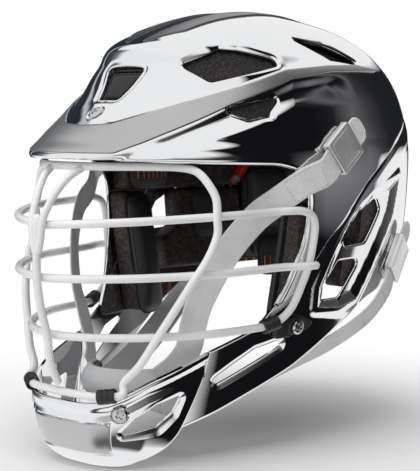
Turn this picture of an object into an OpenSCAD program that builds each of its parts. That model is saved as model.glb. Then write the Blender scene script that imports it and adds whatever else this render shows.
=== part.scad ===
// Lacrosse helmet with a wire face cage, a chin guard and a four point chin strap.
// Millimetres. +Z is up, the wearer faces -Y and the wearer's left is +X.

/* [Shell] */
// Half of the widest width of the shell
shell_half_width = 105; // [100:1:110]
// Height of the brow line above the underside of the chin
brow_z = 198; // [195:1:201]
// Height of the crown above the brow line
crown_rise = 104; // [100:1:110]
// Reach of the visor in front of the ear line
visor_reach = 178; // [174:1:182]
// Reach of the back of the shell behind the ear line
back_reach = 144; // [140:1:148]
// Wall of the moulded shells
shell_wall = 3; // [2.5:0.1:3.5]
// Step from the crown shell down to the rear shell, which it overlaps
shell_step = 1.4; // [1:0.1:1.8]
// Joint gap between neighbouring shells
seam_gap = 0.3; // [0.2:0.05:0.4]

/* [Trim] */
// Thickness that the satin trim stands proud of the shell
trim_proud = 0.8; // [0.6:0.1:1.2]
// Half of the width of the plug on the forehead
plug_half_width = 17; // [15:0.5:18]
// Height of the plug on the forehead
plug_height = 26; // [24:0.5:28]

/* [Chin guard] */
// Half of the widest width of the chin guard
chin_half_width = 64; // [62:0.5:66]
// Reach of the chin guard in front of its centre
chin_reach = 117; // [114:0.5:119]
// Wall of the chin guard
chin_wall = 3.5; // [3:0.1:4]

/* [Cage] */
// Diameter of the cage wires
wire_d = 5.3; // [4.8:0.1:5.6]
// Half of the width of the cage
cage_half_width = 99; // [96:0.5:101]
// Reach of the cage in front of its centre
cage_reach = 147; // [144:0.5:150]
// Height of the upper hoop at the front
hoop_z = 160; // [156:1:163]
// Height of the middle wire at the front
middle_z = 126; // [122:1:130]
// Height of the lower hoop at the front
low_hoop_z = 88; // [85:1:92]

/* [Padding] */
// Thickness of the bead foam liner
liner_t = 17; // [14:0.5:18]
// Thickness of the comfort pads
pad_t = 9; // [7:0.5:10]

/* [Straps] */
// Width of the webbing
strap_w = 19; // [16:0.5:20]
// Thickness of the webbing
strap_t = 1.5; // [1.2:0.1:1.8]

/* [Fasteners] */
// Diameter of the screw heads
screw_head_d = 10; // [8:0.5:11]
// Diameter of the screw shanks
screw_d = 4; // [3:0.5:5]

/* [Hidden] */

$fn = 32;
eps = 0.01;
// The ear line is the widest section, and the frame's middle lies in front of it
ear_y = 28;
middle_y = 2.6;
far = 400;
// Foremost places of the visor, of the chin guard and of the cage
visor_front = ear_y - visor_reach;
chin_y = -30;
chin_front = chin_y - chin_reach;
cage_y = -10;
cage_front = cage_y - cage_reach;

// Fit between a liner and the shell, and between two soft pieces
soft_gap = 0.9;
lining_gap = 0.3;
back_power = 2.2;

// Rows of the outer surface: height, half width, front reach, back reach, power, lid
SKIN = [
    [0, shell_half_width - 31, visor_reach - 12, back_reach - 52, 1.6, 0],
    [46, shell_half_width - 21, visor_reach - 2, back_reach - 22, 1.6, 0],
    [81, shell_half_width - 14, visor_reach, back_reach - 12, 1.65, 0],
    [116, shell_half_width - 8, visor_reach, back_reach - 6, 1.8, 0],
    [156, shell_half_width - 2, visor_reach, back_reach - 2, 1.95, 0],
    [brow_z, shell_half_width, visor_reach, back_reach, 2.1, 0],
    [brow_z + 0.153 * crown_rise, shell_half_width - 3, visor_reach - 16, back_reach - 1, 2.1, 0.1],
    [brow_z + 0.306 * crown_rise, shell_half_width - 8, visor_reach - 37, back_reach - 4, 2.1, 0.2],
    [brow_z + 0.46 * crown_rise, shell_half_width - 14, visor_reach - 54, back_reach - 9, 2.1, 0.35],
    [brow_z + 0.61 * crown_rise, shell_half_width - 23, visor_reach - 64, back_reach - 19, 2.1, 0.5],
    [brow_z + 0.755 * crown_rise, shell_half_width - 37, visor_reach - 72, back_reach - 36, 2.1, 0.7],
    [brow_z + 0.88 * crown_rise, shell_half_width - 57, visor_reach - 104, back_reach - 64, 2.1, 0.85],
    [brow_z + 0.965 * crown_rise, shell_half_width - 80, visor_reach - 140, back_reach - 106, 2.1, 0.95],
    [brow_z + crown_rise, 2, 2, 2, 2.1, 1]];
LAST = len(SKIN) - 1;

// Smooth value between rows b and c of a table, through their neighbours a and d
function blend4(a, b, c, d, t) = 0.5 * (2 * b + (c - a) * t + (2 * a - 5 * b + 4 * c - d) * t * t
    + (3 * b - a - 3 * c + d) * t * t * t);
function table_row(table, u) = let (top = len(table) - 1, i = max(0, min(top - 1, floor(u))), t = u - i)
    blend4(table[max(0, i - 1)], table[i], table[i + 1], table[min(top, i + 2)], t);
function row_at(table, z, lo, hi, k = 22) = let (m = (lo + hi) / 2)
    k == 0 ? m : table_row(table, m)[0] < z ? row_at(table, z, m, hi, k - 1) : row_at(table, z, lo, m, k - 1);
function u_at(z) = row_at(SKIN, z, 0, LAST);
function spow(v, e) = sign(v) * pow(abs(v), e);
function oval(r, angle, off, mid) = let (c = cos(angle), s = sin(angle), p = s < 0 ? r[4] : back_power,
    reach = (s < 0 ? r[2] : r[3]) + off)
    [(r[1] + off) * spow(c, 2 / p), mid + reach * spow(s, 2 / p), r[0] + off * r[5]];

// Outer surface of the shell at row u and angle, moved out by off
function skin(u, angle, off) = oval(table_row(SKIN, u), angle, off, ear_y);
// Half width of the outer surface at a place in the side view
function skin_x(y, z, off = 0) = let (r = table_row(SKIN, u_at(z)), front = y < ear_y,
    t = abs(y - ear_y) / ((front ? r[2] : r[3]) + off), p = front ? r[4] : back_power)
    (r[1] + off) * pow(max(0, 1 - pow(t, p)), 1 / p);

// Inner face of the liner, which follows the shell but stops at the forehead
head_reach = visor_reach - 50;
function cavity(u, angle, off) = let (r = table_row(SKIN, u), w = shell_wall + liner_t)
    oval([r[0] - w * r[5], r[1] - w, min(r[2] - w, head_reach), r[3] - w, r[4], r[5]], angle, off, ear_y);

// Solid between rings of equal count, closed by a flat face at each end
module loft(rings) {
    n = len(rings[0]);
    m = len(rings);
    polyhedron(points = [for (r = rings) each r], faces = [
        [for (j = [0 : n - 1]) j],
        [for (j = [n - 1 : -1 : 0]) (m - 1) * n + j],
        for (i = [0 : m - 2]) for (j = [0 : n - 1]) let (k = (j + 1) % n)
            each [[i * n + j, (i + 1) * n + j, (i + 1) * n + k], [i * n + j, (i + 1) * n + k, i * n + k]]]);
}

// Solid between two grids of equal size, the first one outside
module layer(outer, inner) {
    m = len(outer);
    n = len(outer[0]);
    b = m * n;
    edge = concat([for (j = [0 : n - 1]) j], [for (i = [1 : m - 1]) i * n + n - 1],
        [for (j = [n - 2 : -1 : 0]) (m - 1) * n + j], [for (i = [m - 2 : -1 : 1]) i * n]);
    e = len(edge);
    polyhedron(points = concat([for (r = outer) each r], [for (r = inner) each r]), faces = [
        for (i = [0 : m - 2]) for (j = [0 : n - 2]) let (a = i * n + j, c = a + n)
            each [[a, c + 1, c], [a, a + 1, c + 1], [b + a, b + c, b + c + 1], [b + a, b + c + 1, b + a + 1]],
        for (k = [0 : e - 1]) let (p = edge[k], q = edge[(k + 1) % e])
            each [[p, b + q, q], [p, b + p, b + q]]]);
}

module placed() translate([0, -middle_y, 0]) children();
module both_sides() {
    children();
    mirror([1, 0, 0]) children();
}

// Prism along X of an outline in the side view, given as [y, z]
module side_prism(outline, from = -far, to = far)
    translate([from, 0, 0]) rotate([90, 0, 90]) linear_extrude(to - from) polygon(outline);

// Cutter along X with round corners at the given places of the side view
module round_slot(corners, r, from, to)
    hull() for (c = corners) translate([from, c[0], c[1]]) rotate([0, 90, 0]) cylinder(r = r, h = to - from, $fn = 20);

// Sunk frame round a slot, to a set depth below the shell
bevel_depth = 1.2;
bevel_w = 3.5;
module bevel(corners) hull() for (c = corners)
    translate([skin_x(c[0], c[1], -shell_step) - bevel_depth, c[0], c[1]]) rotate([0, 90, 0])
        cylinder(r1 = slot_r + bevel_w - 1, r2 = slot_r + bevel_w + 1, h = 6, $fn = 20);

RING_N = 40;
function ring_angles() = [for (j = [0 : RING_N - 1]) j * 360 / RING_N];
module skin_solid(off, low, high, step = 0.5)
    loft([for (u = [low : step : high]) [for (a = ring_angles()) skin(u, a, off)]]);

// Face opening, shell seam and lower edge in the side view
BROW_EDGE = [[-far, brow_z + 5], [visor_front + 13, brow_z + 5], [visor_front + 37, brow_z + 2],
    [visor_front + 58, brow_z + 1], [-40, brow_z - 1],
    [-24, brow_z - 5], [-15, brow_z - 14], [-12, brow_z - 26], [-14, 146], [-22, 120], [-30, 104]];
SEAM = [[far, 330], [172, 240], [130, 227], [87, 210], [64, 196], [46, 184], [31, 170], [20, 157],
    [7, 145], [-2, 132], [-12, 116], [-22, 106], [-30, 102]];
CHIN_SEAM = [[-72, 74], [-74, 58], [-88, 21]];
JAW_EDGE = [[-88, 21], [-62, 31], [-42, 41], [-7, 58], [28, 80], [60, 99], [95, 107], [140, 110], [far, 112]];
function shifted(list, dy, dz) = [for (p = list) [p[0] + dy, p[1] + dz]];

// Places on the shell in the side view
SLOT_UP = [[60, 166], [63, 162], [50, 144], [31, 143], [41, 157]];
SLOT_LOW = [[26, 125], [41, 125], [27, 107], [13, 107]];
JAW_HOLE = [[-63, 54], [-52, 62], [-38, 71], [-22, 75]];
slot_r = 2.5;
UPPER_STUD = [14, 206];
LOWER_STUD = [95, 126];

// Cutter through the shell, square to it, between places given as [y, z]
head_middle = [0, ear_y, brow_z - 28];
function on_shell(p) = [skin_x(p[0], p[1]), p[0], p[1]];
function front_y(z) = ear_y - table_row(SKIN, u_at(z))[2];
function outward(p) = unit(p - head_middle);
module vent(corners, r, out = 9, in = 12) hull() for (c = corners) {
    p = on_shell(c);
    translate(p + out * outward(p)) sphere(r = r, $fn = 11);
    translate(p - in * outward(p)) sphere(r = r, $fn = 11);
}
VENT_A_FRONT = [[-70, 261], [-48, 272], [-36, 269], [-66, 253]];
VENT_A_REAR = [[-46, 271], [-38, 271], [-17, 265], [-62, 254]];
VENT_B = [[18, 281], [43, 277], [66, 266], [36, 268]];
VENT_C = [[-62, 233], [-30, 240], [-38, 231], [-53, 230]];
module vent_cutters() both_sides() {
    vent(VENT_A_FRONT, 1.5);
    vent(VENT_A_REAR, 1.5);
    vent(VENT_B, 1.5);
    vent(VENT_C, 1.5);
}

// Plug face on the centreline, leaning back with the forehead
plug_z = brow_z + 49;
plug_sink = 5.54;
plug_y = front_y(plug_z) + plug_sink;
plug_lean = 42;
plug_t = 3;
seat_wall = 1.6;
plug_r = 3;
module plug_block(r, in, low, high) hull() for (s = [-1, 1]) {
    translate([s * (plug_half_width - plug_r - in), plug_height / 2 - 2 - in, low]) cylinder(r = r, h = high - low);
    translate([s * (7 - in / 2), plug_r - plug_height / 2 + in, low]) cylinder(r = r, h = high - low);
}
module at_plug() translate([0, plug_y, plug_z]) rotate([90 - plug_lean, 0, 0]) children();

visor_screw_z = brow_z + 0.306 * crown_rise + 1;
visor_screw_sink = -0.19;
visor_screw_at = [0, front_y(visor_screw_z) + visor_screw_sink, visor_screw_z];
visor_screw_lean = 40;
module at_visor_screw() translate(visor_screw_at) rotate([visor_screw_lean, 0, 0]) children();

module crown_shell() color([0.78, 0.79, 0.8]) placed() difference() {
    union() {
        difference() {
            skin_solid(0, 2.5, LAST);
            skin_solid(-shell_wall, 2, LAST);
        }
        intersection() {
            skin_solid(-0.4, 2.5, LAST);
            at_plug() plug_block(plug_r + 0.4 + seat_wall, 0, -plug_t - seat_wall, far / 8);
        }
    }
    side_prism(concat(BROW_EDGE, [[-30, -far], [-far, -far]]));
    side_prism(concat(SEAM, [[-30, -far], [far, -far]]));
    vent_cutters();
    at_plug() plug_block(plug_r + 0.4, 0, -plug_t - 0.2, far / 8);
    at_visor_screw() {
        translate([0, 0, -10]) cylinder(d = screw_d + 0.6, h = 40);
        translate([0, 0, -1]) cylinder(d = screw_head_d + 1, h = 20);
    }
    both_sides() at_upper() translate([0, 0, -12]) cylinder(d = stud_d + 0.6, h = 20);
}

module rear_shell() color([0.78, 0.79, 0.8]) placed() intersection() {
    side_prism(concat(shifted(SEAM, seam_gap, -seam_gap), [[-40, 88], [-72 + seam_gap, 74],
        [-74 + seam_gap, 58]], JAW_EDGE));
    difference() {
        skin_solid(-shell_step, 0.25, 8);
        skin_solid(-shell_step - shell_wall, 0, 8.5);
        both_sides() {
            round_slot(SLOT_UP, slot_r, 60, 130);
            round_slot(SLOT_LOW, slot_r, 60, 130);
            round_slot(JAW_HOLE, slot_r, 40, 100);
            bevel(SLOT_UP);
            bevel(SLOT_LOW);
            bevel(JAW_HOLE);
            clip_screw_place() translate([0, 0, -20]) cylinder(d = screw_d + 0.5, h = 30);
            at_lower() translate([0, 0, -12]) cylinder(d = stud_d + 0.6, h = 20);
        }
    }
}

// Satin panel on the visor that runs back as a band along each side
TRIM_LOW = [[0, brow_z + 8], [22, brow_z + 8], [29, brow_z + 15], [50, brow_z + 38], [59, brow_z + 45],
    [72, brow_z + 55], [90, brow_z + 60], [104, brow_z + 61], [120, brow_z + 61.5]];
TRIM_HIGH = [[0, brow_z + 25], [12, brow_z + 26], [31, brow_z + 38], [52, brow_z + 50], [70, brow_z + 61],
    [90, brow_z + 64.5], [104, brow_z + 65.5], [120, brow_z + 62]];
trim_sweep = 118;
trim_gap = 0.4;
function trim_point(s, v, off) = let (z = lookup(abs(s), TRIM_LOW) * (1 - v) + lookup(abs(s), TRIM_HIGH) * v)
    skin(u_at(z), s - 90, off);
function trim_grid(off) = [for (s = [-trim_sweep : 5 : trim_sweep + 1]) [for (v = [0 : 0.5 : 1]) trim_point(s, v, off)]];
module visor_trim() color([0.66, 0.66, 0.66]) placed() layer(trim_grid(trim_proud + trim_gap), trim_grid(trim_gap));

// Pair of satin stripes over the top
STRIPE_IN = [[0, 8], [0.3, 10], [1, 12]];
STRIPE_OUT = [[0, 9], [0.15, 24], [0.5, 25], [1, 14]];
function on_top(x, y, off) = [x, y, top_z(x, y) + off];
function top_z(x, y, lo = brow_z, hi = brow_z + crown_rise, k = 20) = let (m = (lo + hi) / 2)
    k == 0 ? m : skin_x(y, m) > x ? top_z(x, y, m, hi, k - 1) : top_z(x, y, lo, m, k - 1);
function stripe_grid(off) = [for (s = [0 : 0.0625 : 1]) [for (v = [1, 0.5, 0])
    on_top(lookup(s, STRIPE_IN) * (1 - v) + lookup(s, STRIPE_OUT) * v, -76 + 166 * s, off)]];
module top_stripes() color([0.66, 0.66, 0.66]) placed() both_sides()
    layer(stripe_grid(trim_proud + trim_gap), stripe_grid(trim_gap));

module front_plug() color([0.05, 0.05, 0.05]) placed() at_plug() {
    plug_block(plug_r, 0, 0.1 - plug_t, 0);
    plug_block(plug_r - 1, 2, -1, 1);
}

module pan_screw(shank) {
    cylinder(d = screw_head_d, h = 2.2);
    translate([0, 0, -shank]) cylinder(d = screw_d, h = shank + eps);
}
module visor_screw() color([0.6, 0.6, 0.6]) placed() at_visor_screw() translate([0, 0, -0.7]) pan_screw(1.8);

// Chin guard: height, half width, front reach, back reach, power, lid
CHIN = [
    [0, chin_half_width - 18, chin_reach - 19, 60, 3, 0],
    [8, chin_half_width - 12, chin_reach - 9, 60, 3, 0],
    [20, chin_half_width - 8, chin_reach - 3, 60, 3, 0],
    [40, chin_half_width - 3, chin_reach, 60, 3, 0],
    [56, chin_half_width, chin_reach - 1, 60, 3, 0],
    [82, chin_half_width + 4, chin_reach - 1, 60, 3, 0]];
function chin_u(z) = row_at(CHIN, z, 0, len(CHIN) - 1);
function chin_skin(u, angle, off) = oval(table_row(CHIN, u), angle, off, chin_y);
module chin_solid(off, low) loft([for (u = [low : 0.5 : 5]) [for (a = ring_angles()) chin_skin(u, a, off)]]);
CHIN_TOP = [[-far, 45.5], [chin_front + 1, 45.5], [chin_front + 10, 47.5], [chin_front + 20, 52.5], [chin_front + 32, 59], [-72, 74]];
CHIN_LOW = [[-74, 58], [-88, 21], [chin_front + 51, 12], [chin_front + 36, 4], [chin_front + 29, 0], [-far, 0]];
CHIN_HOLE = [[chin_front + 20, 26], [chin_front + 26, 34], [chin_front + 38, 42], [chin_front + 54, 46],
    [chin_front + 50, 37], [chin_front + 40, 29]];
plate_half = 30;
PLATE_Z = [12, 32];

module chin_guard() color([0.8, 0.8, 0.82]) placed() intersection() {
    side_prism(concat(CHIN_TOP, CHIN_LOW));
    difference() {
        chin_solid(0, 0);
        chin_solid(-chin_wall, -0.1);
        both_sides() {
            round_slot(CHIN_HOLE, 1.5, 20, 90);
            chin_bevel(CHIN_HOLE, 1.5);
            chin_bevel([[chin_front + 35, 52], [-78, 64]], 1);
            chin_bevel([[chin_front + 25, 14], [chin_front + 43, 20]], 0.5);
            front_clip_place() cylinder(d = wire_d + 2 * clip_wall + 0.8, h = clip_w + 0.8, center = true);
        }
        chin_screw_places() {
            translate([0, 0, -15]) cylinder(d = screw_d + 0.5, h = 30);
            translate([0, 0, -1.2]) cylinder(d = screw_head_d + 1, h = 9);
        }
        plate_recess();
    }
}
module chin_bevel(corners, r) hull() for (c = corners)
    translate([chin_x(c[0], c[1]) - 1, c[0], c[1]]) rotate([0, 90, 0]) cylinder(r1 = r + 1.5, r2 = r + 3.5, h = 12, $fn = 20);
function plate_grid(off, grow) = [for (z = [PLATE_Z[0] - grow : (PLATE_Z[1] - PLATE_Z[0] + 2 * grow) / 4 : PLATE_Z[1] + grow + eps])
    [for (a = [-90 + plate_half + grow : -(plate_half + grow) / 5 : -90 - plate_half - grow - eps]) chin_skin(chin_u(z), a, off)]];
module plate_recess() layer(plate_grid(1, 1), plate_grid(-1.6, 1));
module chin_plate() color([0.75, 0.75, 0.77]) placed() layer(plate_grid(-0.4, 0), plate_grid(-1.5, 0));

CHIN_SCREW = [chin_front + 16, 39];
function chin_x(y, z, off = 0) = let (r = table_row(CHIN, chin_u(z)), t = abs(y - chin_y) / (r[2] + off))
    (r[1] + off) * pow(1 - pow(t, r[4]), 1 / r[4]);
chin_screw_turn = 48;
module chin_screw_places() both_sides() translate([chin_x(CHIN_SCREW[0], CHIN_SCREW[1]), CHIN_SCREW[0], CHIN_SCREW[1]])
    rotate([0, 0, -chin_screw_turn]) rotate([0, 90, 0]) children();
module chin_screws() color([0.6, 0.6, 0.6]) placed() chin_screw_places() translate([0, 0, -0.9]) pan_screw(8);

// Cage: plan of the hoops, and round wires swept along points
wire_gap = 0.15;
function cage_point(angle, z, off, grow = 0) = [(cage_half_width + off + grow) * cos(angle),
    cage_y + (cage_reach + off + grow) * sin(angle), z];
WIRE_N = 7;
function unit(v) = v / norm(v);
function curve(p, per) = [for (i = [0 : len(p) - 2]) for (k = [0 : per - 1])
    blend4(p[max(0, i - 1)], p[i], p[i + 1], p[min(len(p) - 1, i + 2)], k / per), p[len(p) - 1]];
function frames(p, i, side) = let (n = len(p), d = unit(p[min(n - 1, i + 1)] - p[max(0, i - 1)]),
    x = unit(cross(d, side)), y = cross(d, x)) [x, y];
function next_side(p, i, side) = let (n = len(p), d = unit(p[min(n - 1, i + 1)] - p[max(0, i - 1)]))
    unit(side - d * (side * d));
function sides(p, i, side) = i == len(p) ? [] : let (s = next_side(p, i, side)) concat([s], sides(p, i + 1, s));
function wire_rings(p, d, n, start) = let (s = sides(p, 0, start)) [for (i = [0 : len(p) - 1])
    let (f = frames(p, i, s[i])) [for (j = [0 : n - 1]) let (a = j * 360 / n)
        p[i] + d / 2 * (cos(a) * f[0] + sin(a) * f[1])]];
module wire(p, start = [0, 0, 1], d = wire_d, n = WIRE_N) loft(wire_rings(p, d, n, start));
// Closed wire, whose last point joins the first
function closed_rings(p, d, n, up) = [for (i = [0 : len(p) - 1]) let (m = len(p),
    t = unit(p[(i + 1) % m] - p[(i + m - 1) % m]), x = unit(cross(t, up(p[i]))), y = cross(t, x))
    [for (j = [0 : n - 1]) let (a = j * 360 / n) p[i] + d / 2 * (cos(a) * x + sin(a) * y)]];
module closed_wire(p, up, d = wire_d, n = WIRE_N) {
    r = closed_rings(p, d, n, up);
    m = len(r);
    polyhedron(points = [for (q = r) each q], faces = [for (i = [0 : m - 1]) for (j = [0 : n - 1])
        let (h = (i + 1) % m, k = (j + 1) % n)
            each [[i * n + j, h * n + j, h * n + k], [i * n + j, h * n + k, i * n + k]]]);
}
function mirrored(p) = [for (i = [len(p) - 1 : -1 : 0]) [-p[i][0], p[i][1], p[i][2]]];
function loop_up(p) = unit([p[0], p[1] - cage_y, 0.001 * (p[2] - hoop_z)]);

// Hoop: front half round, down the edge of the shell and forward again below
hoop_clear = wire_d / 2 + 0.5;
function beside_shell(y, z) = [skin_x(y, z) + hoop_clear, y, z];
hoop_rise = 7;
hoop_half = concat([for (a = [-90 : 10 : -30]) cage_point(a, hoop_z + hoop_rise * (a + 90) / 75, 0)],
    [for (q = [[-44, 6.5, -4.5], [-33, 7, -1.5], [-22, 6.5, 0], [-14, 3, 0], [-11, -3, 0], [-10.5, -11, 0]])
        beside_shell(q[0], hoop_z + q[1]) + [q[2], 0, 0]],
    [for (q = [[-11, 12], [-12, 2], [-15, -9]]) beside_shell(q[0], middle_z + q[1])],
    [for (q = [[-19, 17, 0], [-25, 10, 1.5], [-33, 5, 2.6], [-42, 2.5, 2.8]]) beside_shell(q[0], low_hoop_z + q[1]) + [q[2], 0, 0]],
    [for (a = [-30 : -10 : -80]) cage_point(a, low_hoop_z + 2 * (a + 90) / 75, 0, -7 + 2 * (a + 30) / 60)],
    [cage_point(-90, low_hoop_z, 0, -9)]);
hoop_path = concat([for (i = [0 : len(hoop_half) - 1]) hoop_half[i]],
    [for (i = [len(hoop_half) - 2 : -1 : 1]) [-hoop_half[i][0], hoop_half[i][1], hoop_half[i][2]]]);
module cage_hoop_wire() color([0.93, 0.93, 0.93]) placed() closed_wire(hoop_path, function (p) loop_up(p));

// Middle wire, whose ends lie on the outside of the hoop's upright
middle_end = beside_shell(-11.5, middle_z + 4) + [wire_d + wire_gap, 0, 0];
middle_half = concat([for (a = [-90 : 9 : -27]) cage_point(a, middle_z + 3 * (a + 90) / 60, 0)],
    [[middle_end[0] - 9, -36, middle_z + 4], [middle_end[0] - 0.5, -18, middle_z + 4], middle_end + [0, 3, 0]]);
module cage_middle_wire() color([0.93, 0.93, 0.93]) placed()
    wire(curve(concat(mirrored([for (i = [1 : len(middle_half) - 1]) middle_half[i]]), middle_half), 2), [1, 0, 0]);

// Perimeter wire: under the brow, down the front corners and round the chin
outer = wire_d + wire_gap;
chin_wire_z = 50.6;
perimeter_half = concat(
    [for (q = [[0, 13, 1], [24, 17, 1], [40, 27, 1], [54, 39, 1], [66, 50, 1.5], [75, 56, 4], [82, 59, 11],
        [87, 61.5, 21]]) [q[0], visor_front + q[1], brow_z - q[2]]],
    [cage_point(-31.5, 165, outer), cage_point(-31.5, 154, outer), cage_point(-34, 140, outer),
        cage_point(-38, middle_z, outer, 0), cage_point(-43, 108, outer, -3), cage_point(-48, low_hoop_z + 3, outer, -7),
        cage_point(-54, 72, outer, -11), cage_point(-60, 60, outer, -15)],
    [for (q = [[46, 14.8, 2], [34, 7.5, 0], [18, 4, 0], [0, 3, 0]]) [q[0], chin_front + q[1], chin_wire_z + q[2]]]);
perimeter_path = concat(perimeter_half, [for (i = [len(perimeter_half) - 2 : -1 : 1])
    [-perimeter_half[i][0], perimeter_half[i][1], perimeter_half[i][2]]]);
module cage_perimeter_wire() color([0.93, 0.93, 0.93]) placed()
    closed_wire(perimeter_path, function (p) [0, 1, 0]);

// Centre wires in front of the hoops, forked from the upper hoop to the brow
centre_half = [[0, chin_front, chin_wire_z + 6], [0, (chin_front + cage_front) / 2, 70], cage_point(-90, low_hoop_z, outer, -8), cage_point(-90, 106, outer, -3),
    cage_point(-90, middle_z, outer, 0), cage_point(-90, hoop_z - 14, outer, 0)];
module cage_centre_wires() color([0.93, 0.93, 0.93]) placed() {
    wire(curve(concat([[0, chin_front + 2, chin_wire_z + 4.5]], [for (i = [1 : 5]) centre_half[i]],
        [cage_point(-90, hoop_z + 1, outer, 0), [0, cage_front - 1, hoop_z + 12]]), 2), [1, 0, 0], wire_d, 10);
    both_sides() wire(curve([[4.5, cage_front - 5.2, hoop_z - 8], [5.5, cage_front - 4.6, hoop_z + 4],
        [8, cage_front + 2, hoop_z + 18], [12, (cage_front + visor_front) / 2 + 7.5, brow_z - 8]], 3), [1, 0, 0], wire_d * 0.92, 8);
}

// Clips that hold the cage
clip_wall = 2.2;
module tube(d_in, d_out, h) difference() {
    cylinder(d = d_out, h = h, center = true);
    cylinder(d = d_in, h = h + 1, center = true);
}
front_clip_at = [37.5, chin_front + 9.7, chin_wire_z + 0.5];
clip_w = 12;
module front_clip_place() translate(front_clip_at) rotate([0, 0, 32]) rotate([0, 83, 0]) children();
module front_clip() front_clip_place() tube(wire_d + 1.9, wire_d + 2 * clip_wall, clip_w);
module front_clip_left() color([0.08, 0.08, 0.08]) placed() front_clip();
module front_clip_right() color([0.08, 0.08, 0.08]) placed() mirror([1, 0, 0]) front_clip();

// Rear clip: a wrap round the hoop, and a plate on the shell for the screw
CLIP_SCREW = [-13, 88];
rear_clip_at = beside_shell(-37.8, low_hoop_z + 3.7) + [2.7, 0, 0];
clip_plate_t = 2.6;
CLIP_PLATE = [[0, -29.5, 80, 92.5], [0.33, -20, 80.5, 94], [0.66, -12, 82, 94], [0.9, -4, 85, 92], [1, 0, 87, 91]];
function plate_side(off) = [for (q = CLIP_PLATE) [for (v = [0, 0.5, 1]) let (z = q[2] * (1 - v) + q[3] * v)
    [skin_x(q[1], z) + off, q[1], z]]];
module rear_clip() {
    translate(rear_clip_at) rotate([0, 0, 70]) rotate([0, 74, 0]) tube(wire_d + 1.9, wire_d + 2 * clip_wall, clip_w);
    difference() {
        layer(plate_side(0.3 + clip_plate_t), plate_side(0.3));
        clip_screw_place() translate([0, 0, -20]) cylinder(d = screw_d + 0.5, h = 30);
    }
}
module clip_screw_place() translate([skin_x(CLIP_SCREW[0], CLIP_SCREW[1]), CLIP_SCREW[0], CLIP_SCREW[1]])
    rotate([0, 0, -6]) rotate([0, 98, 0]) children();
module rear_clip_left() color([0.08, 0.08, 0.08]) placed() rear_clip();
module rear_clip_right() color([0.08, 0.08, 0.08]) placed() mirror([1, 0, 0]) rear_clip();
module clip_screws() color([0.6, 0.6, 0.6]) placed() both_sides() clip_screw_place()
    translate([0, 0, clip_plate_t + 0.7]) pan_screw(7.2);

// Liners between the shell and the cavity. The front one leaves the visor hollow.
function liner_back(u, a, off) = let (r = table_row(SKIN, u), w = shell_wall + soft_gap + off)
    oval([r[0] - w * r[5], r[1] - w, min(r[2] - w, head_reach + liner_t + 3), r[3] - w, r[4], r[5]], a, 0, ear_y);
module liner(z0, z1, a0, a1, nz, na, off = 0) layer(
    [for (i = [0 : na]) [for (j = [0 : nz]) liner_back(u_at(z0) + (u_at(z1) - u_at(z0)) * j / nz, a0 + (a1 - a0) * i / na, off)]],
    [for (i = [0 : na]) [for (j = [0 : nz]) cavity(u_at(z0) + (u_at(z1) - u_at(z0)) * j / nz, a0 + (a1 - a0) * i / na, 0)]]);
function cavity_x(y, z, off = 0) = let (r = table_row(SKIN, u_at(z)), w = shell_wall + liner_t, front = y < ear_y,
    t = abs(y - ear_y) / ((front ? min(r[2] - w, head_reach) : r[3] - w) + off), p = front ? r[4] : back_power)
    (r[1] - w + off) * pow(max(0, 1 - pow(t, p)), 1 / p);
// Block of liner at the side, with straight ends in the side view
function grid_at(y0, y1, z0, z1, n, m) = [for (i = [0 : n]) [for (j = [0 : m]) [y0 + (y1 - y0) * i / n, z0 + (z1 - z0) * j / m]]];
module side_block(front, y1, z0, z1, n, m) {
    grid = [for (r = grid_at(0, 1, z0, z1, n, m)) [for (q = r) let (y0 = lookup(q[1], front)) [y0 + (y1 - y0) * q[0], q[1]]]];
    layer([for (r = grid) [for (q = r) [skin_x(q[0], q[1], -shell_wall - soft_gap - shell_step), q[0], q[1]]]],
        [for (r = grid) [for (q = r) [cavity_x(q[0], q[1]), q[0], q[1]]]]);
}
crown_hole_z = brow_z + 0.955 * crown_rise;
module front_liner() color([0.2, 0.17, 0.16]) placed() difference() {
    liner(brow_z + 2, crown_hole_z, -178, -2, 9, 18);
    at_plug() plug_block(plug_r + 1 + seat_wall, 0, -plug_t - seat_wall - 0.6, far / 8);
}
module rear_liner() color([0.2, 0.17, 0.16]) placed() liner(brow_z + 2, crown_hole_z, 2, 178, 9, 18, shell_step);
module nape_liner() color([0.2, 0.17, 0.16]) placed() liner(114, brow_z - 1, 42, 138, 5, 10, shell_step);
module side_liner() side_block([[172, -8]], 104, 172, brow_z - 1, 7, 2);
module ear_liner() side_block([[134, 31], [142, 47]], 104, 110, 170, 4, 6);
module jaw_liner() side_block([[170, -12]], 14, 82, 170, 3, 5);
module side_liner_left() color([0.2, 0.17, 0.16]) placed() side_liner();
module side_liner_right() color([0.2, 0.17, 0.16]) placed() mirror([1, 0, 0]) side_liner();
module ear_liner_left() color([0.2, 0.17, 0.16]) placed() ear_liner();
module ear_liner_right() color([0.2, 0.17, 0.16]) placed() mirror([1, 0, 0]) ear_liner();
module jaw_liner_left() color([0.2, 0.17, 0.16]) placed() jaw_liner();
module jaw_liner_right() color([0.2, 0.17, 0.16]) placed() mirror([1, 0, 0]) jaw_liner();

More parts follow.
